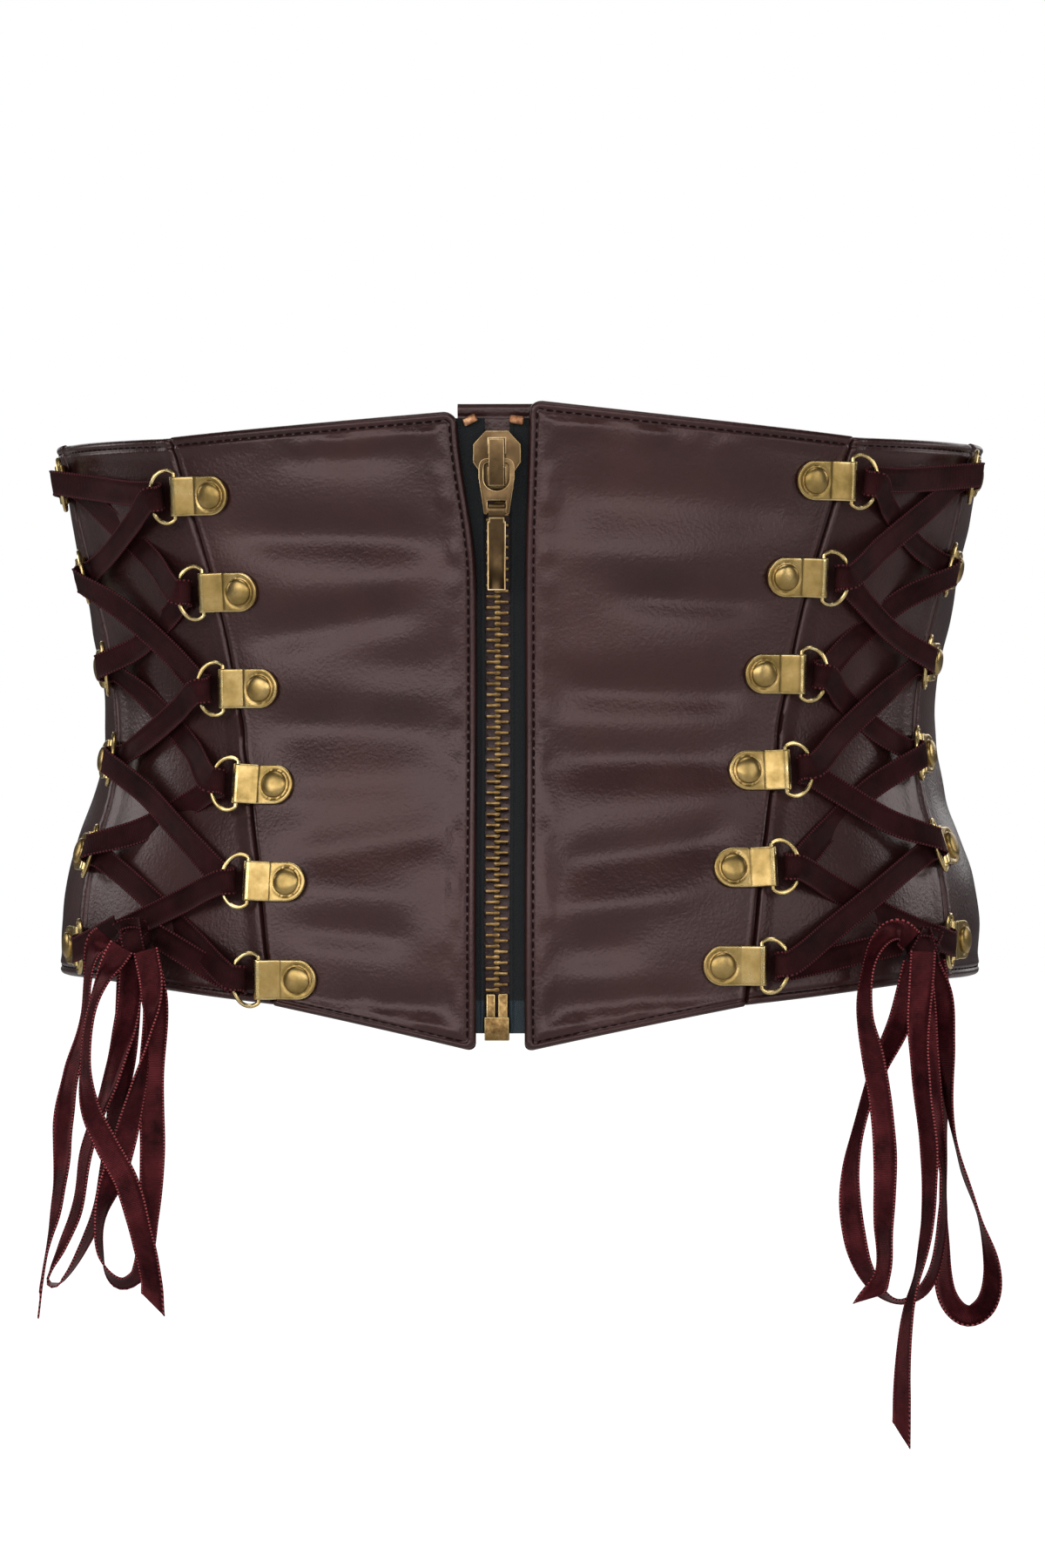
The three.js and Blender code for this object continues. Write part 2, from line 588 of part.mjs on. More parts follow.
// The pull tab: a rolled eye round the link's bar and a long plate with a raised rim
function pullerTab() {
  const holeRadius = linkThick;
  const eyeRadius = holeRadius + 0.8;
  const eyeWide = pullerWide - 0.7;
  const neckLong = 1.8;
  const bodyTop = -eyeRadius - 1;
  const ring = new THREE.Shape();
  ring.absarc(0, 0, eyeRadius, 0, 2 * Math.PI, false);
  const hole = new THREE.Path();
  hole.absarc(0, 0, holeRadius, 0, 2 * Math.PI, true);
  ring.holes.push(hole);
  const eye = new THREE.ExtrudeGeometry(ring, { depth: eyeWide, bevelEnabled: false, curveSegments: 12 })
    .rotateY(Math.PI / 2)
    .translate(-eyeWide / 2, 0, 0);
  const bodyLong = pullerLong + bodyTop;
  const neck = block(eyeWide, pullerThick, neckLong, 0, 0, bodyTop + neckLong / 3);
  const body = block(pullerWide, pullerThick, bodyLong, 0, 0, bodyTop - bodyLong / 2);
  return join([eye, neck, body]);
}

// A ring set, drawn with x from the rivet towards the ring, y up the seam and z out of the leather
function ringSet() {
  const half = tabHigh / 2;
  const shape = new THREE.Shape();
  shape.moveTo(tabReach, -half);
  shape.lineTo(tabReach, half);
  shape.lineTo(0, half);
  shape.absarc(0, 0, half, Math.PI / 2, (3 * Math.PI) / 2, false);
  const tab = new THREE.ExtrudeGeometry(shape, { depth: tabThick, bevelEnabled: false, curveSegments: 4 })
    .translate(0, 0, gap);
  const fold = new THREE.CylinderGeometry(foldRadius, foldRadius, tabHigh, 6)
    .translate(tabReach, 0, gap + foldRadius);
  const base = gap + tabThick / 2;
  const crown = gap + tabThick + rivetRise;
  const rivet = new THREE.LatheGeometry(
    [[0, base], [rivetRadius, base], [rivetRadius * 0.7, crown - rivetRise / 5], [0, crown]].map(
      ([x, y]) => new THREE.Vector2(x, y),
    ),
    8,
  ).rotateX(Math.PI / 2);
  const widest = ringDepth - ringBelly;
  const opening = Math.acos(-ringBelly / widest);
  const centres = even(8).map((share) => {
    const angle = opening * (2 * share - 1);
    const reach = ringBelly + widest * Math.cos(angle);
    const lift = (ringLift * reach) / ringDepth;
    return new THREE.Vector3(tabReach + reach, ringHalfHeight * Math.sin(angle), gap + foldRadius + lift);
  });
  return join([tab, fold, rivet, wireLoop(centres, wireRadius, 4)]);
}

// Where each ring set sits: its rivet, and its directions towards the ring, up the seam and outwards
function ringPlace(column, side, row) {
  const front = column === "front";
  const level = front ? frontRingTop - frontRingStep * row : rearRingTop - rearRingStep * row;
  const z = level + ringShift[column][side < 0 ? "left" : "right"];
  const seam = front ? seams.front : seams.rear;
  const away = (front ? -1 : 1) * side;
  const at = (height, inset) => {
    const turn = seamTurn(seam, side, height);
    const here = skin(turn, height, 0);
    return skin(turn + (away * inset) / Math.hypot(here.x, here.y), height, 0);
  };
  const seat = at(z, rivetInset);
  const along = at(z, rivetInset - 2).sub(at(z, rivetInset + 2)).normalize();
  const rise = at(z + 4, rivetInset).sub(at(z - 4, rivetInset)).normalize();
  const out = along.clone().cross(rise).normalize();
  const outwards = out.dot(seat) > 0 ? out : out.negate();
  const rivet = seat.addScaledVector(outwards, ringSeat);
  const up = outwards.clone().cross(along).normalize();
  return { rivet, along, up, rise, out: outwards };
}

// The wire's middle, where the ribbon turns round it
function wirePlace(place) {
  return place.rivet.clone()
    .addScaledVector(place.along, tabReach + ringDepth)
    .addScaledVector(place.out, gap + foldRadius + ringLift);
}

// The whole laced ribbon of one side, from the knot round each ring in turn and back to the knot
function laceStops(side, knot, entry, exit) {
  const rows = Array.from({ length: ringRows }, (_, row) => row);
  const visits = [
    ...rows.toReversed().map((row) => ({ column: row % 2 ? "rear" : "front", row, rise: 1 })),
    ...rows.map((row) => ({ column: row % 2 ? "front" : "rear", row, rise: -1 })),
  ];
  const bends = [[0, 1], [-0.85, 0.55], [-0.85, -0.55], [0, -1]];
  const stops = [];
  let sign = 1;
  let last = null;
  const surfaceFace = ({ x, y }) =>
    new THREE.Vector3(x / waistHalfWidth ** 2, y / waistFrontDepth ** 2, 0).normalize();
  visits.forEach(({ column, row, rise }) => {
    const place = ringPlace(column, side, row);
    const wire = wirePlace(place);
    const over = rise * side < 0;
    if (last) {
      const turnOf = (p) => Math.atan2(p.x, -p.y);
      const level = last.row === row || over ? laceOver : -laceUnder;
      for (const share of [0.3, 0.7]) {
        const lift = share > 0.5 && last.row !== row ? laceTurn.slant : 0;
        const at = skin(mix(turnOf(last), turnOf(wire), share), mix(last.z, wire.z, share), level + lift);
        stops.push({ at, face: surfaceFace(at).multiplyScalar(sign) });
      }
    }
    for (const [back, out] of bends) {
      const lean = -rise * laceTurn.slant * out;
      const at = wire.clone()
        .addScaledVector(place.along, laceTurn.back * back)
        .addScaledVector(place.out, laceTurn.out * out)
        .addScaledVector(place.rise, lean);
      const face = place.along.clone().multiplyScalar(back).addScaledVector(place.out, out).normalize();
      stops.push({ at, face: face.multiplyScalar(sign) });
    }
    sign = -sign;
    last = Object.assign(wire, { row });
  });
  const outFace = surfaceFace(knot.at);
  stops.unshift({ at: knot.at.clone().add(entry), face: outFace.clone() });
  stops.push({ at: knot.at.clone().add(exit), face: outFace.multiplyScalar(sign) });
  return stops;
}

// Materials
const finishes = {
  leather: { color: 0x4a3638, roughness: 0.42, metalness: 0 },
  brass: { color: 0xb08a45, roughness: 0.32, metalness: 1 },
  dark_brass: { color: 0x6e5a3a, roughness: 0.4, metalness: 1 },
  copper: { color: 0xa86f4a, roughness: 0.35, metalness: 1 },
  tape: { color: 0x111517, roughness: 0.9, metalness: 0 },
  ribbon: { color: 0x4a1c22, roughness: 0.45, metalness: 0 },
};

const belt = new THREE.Group();
function add(name, geometry, finish, parent = belt) {
  const mesh = new THREE.Mesh(geometry, new THREE.MeshStandardMaterial(finishes[finish]));
  mesh.name = name;
  parent.add(mesh);
  return mesh;
}

for (const front of fronts) add(`front_panel_${front.name}`, frontPanel(front), "leather");
for (const { name, side } of fronts) add(`side_panel_${name}`, sidePanel(side), "leather");
add("back_panel", backPanel(), "leather");

// Guard behind the zip, sewn under the right front panel
const guardLeft = -11.1;
const guardRight = 19;
const guardBottom = tapeBottom;
const guardTop = rightCornerTop - 1;
const guardOuter = backPlateFront - backPlateThick - gap;
const guardSewn = -leather - tapeThick - 2 * gap;
const guardFace = (across) => mix(guardOuter, guardSewn, THREE.MathUtils.smoothstep(across, 0.62, 0.8));
const guardShares = [0, 0.3, 0.6, 0.7, 0.8, 1];
const guard = strip(guardLeft, guardRight, guardBottom, guardTop, guardFace, guardThick, guardShares);
add("zip_guard", guard, "leather");

const tapeFace = () => -leather - gap;
for (const { name, side } of fronts) {
  const [inner, outer] = [side * (chainHalf + gap), side * (chainHalf + gap + tapeWide)];
  add(`zip_tape_${name}`, strip(inner, outer, tapeBottom, tapeTop, tapeFace, tapeThick, even(3)), "tape");
  add(`zip_teeth_${name}`, toothRow(side), "brass");
}

// Stops clamped on the front of the tapes, above the slider
const topStops = [
  { name: "left", x: -chainHalf - stopWide, tilt: -24 },
  { name: "right", x: chainHalf + stopWide / 2, tilt: 8 },
];
for (const { name, x, tilt } of topStops) {
  const stop = add(`top_stop_${name}`, new THREE.BoxGeometry(stopWide, stopThick, stopHigh), "copper");
  stop.position.set(zipMiddle + x, zipFace(stopHeight) + leather - stopThick / 2, stopHeight);
  stop.rotation.y = rad(tilt);
}

// The slider leans with the belt's front, and its puller hangs plumb from the bridge
const lean = Math.atan2(
  zipFace(sliderMiddle - sliderHalfHeight) - zipFace(sliderMiddle + sliderHalfHeight),
  2 * sliderHalfHeight,
);
const hardware = new THREE.Group();
hardware.position.set(zipMiddle, zipFace(sliderMiddle), sliderMiddle);
belt.add(hardware);
add("zip_slider", slider(), "dark_brass", hardware).rotation.x = lean;
const pivot = new THREE.Vector3(0, -pivotOut, 0).applyAxisAngle(new THREE.Vector3(1, 0, 0), lean);
add("puller_link", pullerLink(), "dark_brass", hardware).position.copy(pivot);
const tabPivot = pivot.clone().addScaledVector(upright, -linkDrop);
add("puller_tab", pullerTab(), "dark_brass", hardware).position.copy(tabPivot);

// Retainer box with its fixed pin, and the pin that slides into it
const boxTop = chainBottom - gap - boxHigh;
const foot = new THREE.Group();
foot.position.set(zipMiddle, zipFace(boxTop), boxTop);
belt.add(foot);
const footDeep = toothDepth + 1.3;
const footMiddle = -(teethFront + teethBack) / 2;
const pinX = chainHalf / 2;
const pinMiddle = boxHigh - pinLong / 2;
const pinAt = (side, grow) =>
  block(pinWide + grow, toothDepth + grow, pinLong + grow, side * pinX, footMiddle, pinMiddle);
const box = solid(block(2 * chainHalf, footDeep, boxHigh, 0, footMiddle, -boxHigh / 2))
  .add(solid(pinAt(1, 0)))
  .subtract(solid(pinAt(-1, 2 * gap)));
add("retainer_box", geometryOf(box), "brass", foot);
add("insertion_pin", pinAt(-1, 0), "brass", foot);

// Ring sets, two columns on each side
const oneRing = ringSet();
for (const { name, side } of fronts)
  for (const column of ["front", "rear"])
    for (let row = 0; row < ringRows; row += 1) {
      const place = ringPlace(column, side, row);
      const mesh = add(`ring_${name}_${column}_${row + 1}`, oneRing, "brass");
      mesh.position.copy(place.rivet);
      mesh.setRotationFromMatrix(new THREE.Matrix4().makeBasis(place.along, place.up, place.out));
    }

// Lacing, knots and the hanging ribbons
const laceEnds = {
  left: { entry: new THREE.Vector3(-5, 4, 3.2), exit: new THREE.Vector3(6.2, 0.6, 1) },
  right: { entry: new THREE.Vector3(4.2, 5, 2.8), exit: new THREE.Vector3(-6.2, -0.6, 1.6) },
};
for (const { name, side } of fronts) {
  const knot = knots[name];
  const { entry, exit } = laceEnds[name];
  add(`lace_${name}`, ribbon(laceStops(side, knot, entry, exit), ribbonWide, ribbonThick), "ribbon");
  const lump = new THREE.SphereGeometry(1, 8, 5).rotateX(Math.PI / 2).scale(...knot.ring.toArray());
  add(`knot_${name}`, lump, "ribbon").position.copy(knot.at);
}
for (const [name, route] of Object.entries(hanging))
  add(`ribbon_${name}`, ribbon(turned(route), ribbonWide, ribbonThick), "ribbon");

export default belt;
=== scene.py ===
import math

import bmesh
import bpy
from mathutils import Matrix, Vector, noise


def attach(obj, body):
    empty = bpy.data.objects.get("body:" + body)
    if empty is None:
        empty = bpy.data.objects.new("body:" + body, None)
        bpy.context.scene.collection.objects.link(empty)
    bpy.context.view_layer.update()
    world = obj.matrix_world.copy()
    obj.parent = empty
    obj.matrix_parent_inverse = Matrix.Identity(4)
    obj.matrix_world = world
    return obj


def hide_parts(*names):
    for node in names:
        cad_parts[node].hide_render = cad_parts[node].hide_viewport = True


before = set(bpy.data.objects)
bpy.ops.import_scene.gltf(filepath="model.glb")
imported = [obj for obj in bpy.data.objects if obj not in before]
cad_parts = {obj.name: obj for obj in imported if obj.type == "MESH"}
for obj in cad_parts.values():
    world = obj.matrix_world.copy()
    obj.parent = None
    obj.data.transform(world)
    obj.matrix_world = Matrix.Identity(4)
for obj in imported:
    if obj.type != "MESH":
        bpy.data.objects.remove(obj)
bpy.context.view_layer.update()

# A corset belt as it is worn: two smooth leather front panels with an open ended zip between them, side
# panels under crossed ribbon lacing, and a back panel. Metres, Z up, the front towards -Y.

form = {
    "waistHalf": 0.118, "topFlare": 0.013, "hemFlare": 0.0115,
    "frontDepth": 0.088, "topFrontGrowth": 0.004, "hemFrontGrowth": 0.006,
    "backDepth": 0.074, "topBackGrowth": 0.015, "hemBackGrowth": 0.021,
    "roundness": 2.3,
    "sideTop": 0.083, "centreHem": -0.084, "seamHem": -0.072, "sideHem": -0.066,
    "zipMiddle": -0.003, "leather": 0.002, "gap": 0.0003,
    # growth from the waist to the edges, as shares of the height and of the growth
    "rise": [(0, 0), (0.24, 0.08), (0.5, 0.4), (0.72, 0.7), (1, 1)],
    "drop": [(0, 0), (0.18, 0.22), (0.34, 0.62), (0.5, 0.93), (0.68, 1.03), (1, 0.9)],
    # seams above and below the waist: degrees round the body by share of the height
    "seams": {
        "front": ([(0, 38.2), (0.19, 39.6), (0.5, 41.2), (0.82, 43.9), (1, 45.4)],
                  [(0, 38.2), (0.13, 36.7), (0.44, 32.2), (0.76, 30.1), (1, 28.8)]),
        "rear": ([(0, 70.5), (0.19, 71.5), (0.5, 73.4), (0.82, 75.8), (1, 77.4)],
                 [(0, 70.5), (0.13, 69.9), (0.44, 68.2), (0.76, 67.4), (1, 67)]),
    },
}
sides = {"left": -1, "right": 1}
mm = 0.001


def mix(a, b, share):
    return a + (b - a) * share


def smooth(value, low, high):
    share = min(max((value - low) / (high - low), 0), 1)
    return share * share * (3 - 2 * share)


def bell(value, middle, wide):
    return math.exp(-((value - middle) / wide) ** 2)


def quarterRound(share):
    # height of a quarter circle at a share of its reach
    return math.sqrt(max(1 - (1 - share) ** 2, 0))


def through(rows, at):
    # a smooth curve through rows of level and value, flat at the first
    last = len(rows) - 1
    k = 0
    while k < last - 1 and at > rows[k + 1][0]:
        k += 1
    (levelA, grownA), (levelB, grownB) = rows[k], rows[k + 1]

    def slope(p, q):
        return (q[1] - p[1]) / (q[0] - p[0])

    slopeIn = slope(rows[k - 1], rows[k + 1]) if k > 0 else 0
    slopeOut = slope(rows[k], rows[k + 2]) if k + 2 <= last else slope(rows[k], rows[k + 1])
    span = levelB - levelA
    t = min(max((at - levelA) / span, 0), 1.3)
    rise = (t ** 3 - 2 * t * t + t) * slopeIn * span + (t ** 3 - t * t) * slopeOut * span
    return grownA * (2 * t ** 3 - 3 * t * t + 1) + grownB * (3 * t * t - 2 * t ** 3) + rise


sectionsMade = {}


def section(z):
    key = round(z * 1e5)
    if key not in sectionsMade:
        above = z > 0
        edge = "top" if above else "hem"
        rows, reach = (form["rise"], form["sideTop"]) if above else (form["drop"], form["centreHem"])
        grown = through(rows, z / reach)
        sectionsMade[key] = (
            form["waistHalf"] + grown * form[f"{edge}Flare"],
            form["frontDepth"] + grown * form[f"{edge}FrontGrowth"],
            form["backDepth"] + grown * form[f"{edge}BackGrowth"],
        )
    return sectionsMade[key]


def skin(turn, z, out=0.0):
    half, front, back = section(z)
    power = form["roundness"]
    depth = front if math.cos(turn) > 0 else back
    sx, sy = math.sin(turn), -math.cos(turn)
    scale = (abs(sx / half) ** power + abs(sy / depth) ** power) ** (-1 / power)
    nx = math.copysign(abs(sx) ** (power - 1) / half ** power, sx)
    ny = math.copysign(abs(sy) ** (power - 1) / depth ** power, sy)
    long = math.hypot(nx, ny)
    return Vector((sx * scale + nx / long * out, sy * scale + ny / long * out, z))


def turnAtX(x, z):
    half, front, _ = section(z)
    return math.atan2(x, front * (1 - abs(x / half) ** form["roundness"]) ** (1 / form["roundness"]))


def seamTurn(seam, side, z):
    above, below = form["seams"][seam]
    degrees = through(above, z / form["sideTop"]) if z > 0 else through(below, z / form["centreHem"])
    return turnAtX(side * section(z)[0] * math.sin(math.radians(degrees)), z)


def zipFace(z):
    return skin(turnAtX(form["zipMiddle"], z), z).y


# The camera stands as far off and as high as the photograph's
view = {"distance": 1.75, "azimuth": 2.0, "frameHeight": 0.446, "sensor": 36.0, "farLimit": 50,
        "frameRows": 1800, "horizonRow": 850, "middleColumn": 600, "axisColumn": 597}


def linked(name, data):
    made = bpy.data.objects.new(name, data)
    bpy.context.scene.collection.objects.link(made)
    return made


cameraData = bpy.data.cameras.new("camera")
cameraData.sensor_width = view["sensor"]
cameraData.lens = view["sensor"] * view["distance"] / view["frameHeight"]
cameraData.shift_y = (view["horizonRow"] - view["frameRows"] / 2) / view["frameRows"]
cameraData.shift_x = (view["middleColumn"] - view["axisColumn"]) / view["frameRows"]
cameraData.clip_end = view["farLimit"]
azimuth = math.radians(view["azimuth"])
camera = linked("camera", cameraData)
camera.location = (view["distance"] * math.sin(azimuth), -view["distance"] * math.cos(azimuth), 0)
camera.rotation_euler = (math.pi / 2, 0, azimuth)
bpy.context.scene.camera = camera
print("camera made")


def colour(code):
    parts = [int(code[k:k + 2], 16) / 255 for k in (1, 3, 5)]
    return [c / 12.92 if c <= 0.04045 else ((c + 0.055) / 1.055) ** 2.4 for c in parts] + [1]


def setInputs(tree, node, inputs):
    for name, value in inputs.items():
        if isinstance(value, bpy.types.NodeSocket):
            tree.links.new(value, node.inputs[name])
        else:
            node.inputs[name].default_value = value


def addNode(tree, kind, settings=None, inputs=None):
    node = tree.nodes.new(kind)
    for name, value in (settings or {}).items():
        setattr(node, name, value)
    setInputs(tree, node, inputs or {})
    return node


def newMaterial(name):
    material = bpy.data.materials.new(name)
    material.use_nodes = True
    tree = material.node_tree
    tree.nodes.clear()
    shader = addNode(tree, "ShaderNodeBsdfPrincipled")
    addNode(tree, "ShaderNodeOutputMaterial", inputs={"Surface": shader.outputs["BSDF"]})
    return material, tree, shader


def ramp(tree, factor, stops):
    node = addNode(tree, "ShaderNodeValToRGB", inputs={"Fac": factor})
    elements = node.color_ramp.elements
    elements[0].position, elements[0].color = stops[0][0], colour(stops[0][1])
    elements[1].position, elements[1].color = stops[-1][0], colour(stops[-1][1])
    for place, code in stops[1:-1]:
        elements.new(place).color = colour(code)
    return node.outputs["Color"]


def maths(tree, operation, *values):
    return addNode(tree, "ShaderNodeMath", {"operation": operation}, dict(enumerate(values))).outputs[0]


def sineOf(tree, value, pitch):
    return maths(tree, "SINE", maths(tree, "MULTIPLY", value, 2 * math.pi / pitch))


def mapped(tree, value, source=(0, 1), target=(0, 1), kind="LINEAR"):
    node = addNode(tree, "ShaderNodeMapRange", {"interpolation_type": kind}, {
        "Value": value, "From Min": source[0], "From Max": source[1],
        "To Min": target[0], "To Max": target[1]})
    return node.outputs["Result"]


def clouds(tree, place, scale, detail, roughness=0.5):
    return addNode(tree, "ShaderNodeTexNoise", inputs={
        "Vector": place, "Scale": scale, "Detail": detail, "Roughness": roughness}).outputs["Fac"]


def bumpOf(tree, height, strength, distance):
    return addNode(tree, "ShaderNodeBump", inputs={
        "Strength": strength, "Distance": distance, "Height": height}).outputs["Normal"]


def ribbonMaterial(name, faceShadeAndSheenCodes, loopShadeAndGlintCodes, roughness, gleam):
    # Polyester satin ribbon: lengthwise gloss, fine cross ribs and a looped picot edge about 0.5 mm wide
    material, tree, shader = newMaterial(name)
    uv = addNode(tree, "ShaderNodeUVMap", {"uv_map": "weave"}).outputs["UV"]
    parts = addNode(tree, "ShaderNodeSeparateXYZ", inputs={"Vector": uv}).outputs
    atEdge = mapped(tree, maths(tree, "ABSOLUTE", parts["X"]), (0.00285, 0.00305), kind="SMOOTHSTEP")
    loops, ribs = sineOf(tree, parts["Y"], 0.0009), sineOf(tree, parts["Y"], 0.00045)
    # painted highlight on each picot loop's crest and painted shade between the loops, following the same
    # wave as their bump
    loopShadeAndGlint = ramp(tree, mapped(tree, loops, (-0.6, 0.7)), [(0.0, loopShadeAndGlintCodes[0]), (1.0, loopShadeAndGlintCodes[1])])
    # painted shade and painted sheen: broad random patches between a dark and a bright face colour stand in
    # for the satin's light and shade, with the yarn's fine mottle on top
    faceMottleAndSheen = ramp(tree, clouds(tree, uv, 60, 6, 0.7), [(0.34, faceShadeAndSheenCodes[0]), (0.68, faceShadeAndSheenCodes[1])])
    tone = addNode(tree, "ShaderNodeMix", {"data_type": "RGBA"}, {0: atEdge, 6: faceMottleAndSheen, 7: loopShadeAndGlint})
    relief = addNode(tree, "ShaderNodeMix", {"data_type": "FLOAT"}, {0: atEdge, 2: ribs, 3: loops})
    # satin yarn tints its own gloss, which the metallic share stands for
    setInputs(tree, shader, {
        "Base Color": tone.outputs[2], "Normal": bumpOf(tree, relief.outputs[0], 0.25, 0.0001),
        "Roughness": roughness, "Metallic": gleam, "IOR": 1.5, "Anisotropic": 0.5,
        "Specular IOR Level": 0.25, "Specular Tint": colour("#c88a84")})
    return material


# face codes: the satin's painted shade and painted sheen; edge codes: painted shade between the picot loops
# and painted highlight on them
ribbonSatin = ribbonMaterial(
    "burgundySatinRibbon", ("#1f0b0d", "#5c2429"), ("#190a0b", "#a04c50"), 0.32, 0.5)
# a darker copy of the hanging ribbons' satin for the lacing and knots: painted shade on the same ribbon
shadedLaceSatin = ribbonMaterial("burgundyRibbonPaintedShade", ("#16090a", "#351619"), ("#120708", "#5c2c31"), 0.55, 0.3)
print("ribbon materials made")


def newPiece(name, mesh, node=None, body="belt"):
    made = linked(name, mesh)
    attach(made, body)
    if node:
        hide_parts(node)
    return made


def smoothShaded(mesh, degrees):
    mesh.shade_smooth()
    mesh.set_sharp_from_angle(angle=math.radians(degrees))
    return mesh


def meshOf(bm, name):
    mesh = bpy.data.meshes.new(name)
    bm.to_mesh(mesh)
    bm.free()
    return mesh


def meshFrom(name, points, faces, materials, degrees):
    mesh = bpy.data.meshes.new(name)
    mesh.from_pydata([tuple(p) for p in points], [], faces)
    for material in materials:
        mesh.materials.append(material)
    smoothShaded(mesh, degrees)
    mesh.validate()
    mesh.update()
    return mesh


def facedOut(points, faces):
    volume = 0
    for face in faces:
        for b, c in zip(face[1:], face[2:]):
            volume += points[face[0]].dot(points[b].cross(points[c]))
    return faces if volume > 0 else [face[::-1] for face in faces]


def hoopFaces(ring, hoops, closed=False):
    # the quads between each hoop of points and the next
    faces = []
    for k in range(hoops if closed else hoops - 1):
        here, after = k * ring, (k + 1) % hoops * ring
        for s in range(ring):
            t = (s + 1) % ring
            faces.append((here + s, here + t, after + t, after + s))
    return faces


def joined(shapes):
    points, faces, marks = [], [], []
    for somePoints, someFaces, someMarks in shapes:
        start = len(points)
        faces += [tuple(k + start for k in face) for face in someFaces]
        points += somePoints
        marks += someMarks
    return points, faces, marks


def closedWall(acrossShares, upShares, pointAt):
    # an outer and an inner sheet that share their border
    m, n = len(acrossShares), len(upShares)
    points = [pointAt(a, u, 0) for u in upShares for a in acrossShares]
    outer = {(i, j): j * m + i for j in range(n) for i in range(m)}
    inner = dict(outer)
    for j in range(1, n - 1):
        for i in range(1, m - 1):
            inner[(i, j)] = len(points)
            points.append(pointAt(acrossShares[i], upShares[j], 1))
    faces = []
    for j in range(n - 1):
        for i in range(m - 1):
            corners = ((i, j), (i + 1, j), (i + 1, j + 1), (i, j + 1))
            faces.append(tuple(outer[corner] for corner in corners))
            faces.append(tuple(inner[corners[k]] for k in (0, 3, 2, 1)))
    return points, facedOut(points, faces)


def spread(length, step, fine, fineStep):
    # shares along a length, close together near both ends
    places = [0.0]
    while places[-1] < length / 2:
        here = places[-1]
        places.append(here + mix(fineStep, step, smooth(here, fine * 0.6, fine * 1.8)))
    places[-1] = length / 2
    return [p / length for p in places] + [1 - p / length for p in reversed(places[:-1])]


# Ribbons: the hanging ends of both bows, with their routes listed in mm and degrees
ribbonWork = {
    "wide": 0.007, "step": 0.0012, "cut": 0.009,
    # half thickness from edge to edge: thin satin between corded edges
    "profile": [(-1, 0.00016), (-0.95, 0.0003), (-0.87, 0.00026), (-0.82, 0.00013), (-0.45, 0.00015),
                (0, 0.00016),
                (0.45, 0.00015), (0.82, 0.00013), (0.87, 0.00026), (0.95, 0.0003), (1, 0.00016)],
}

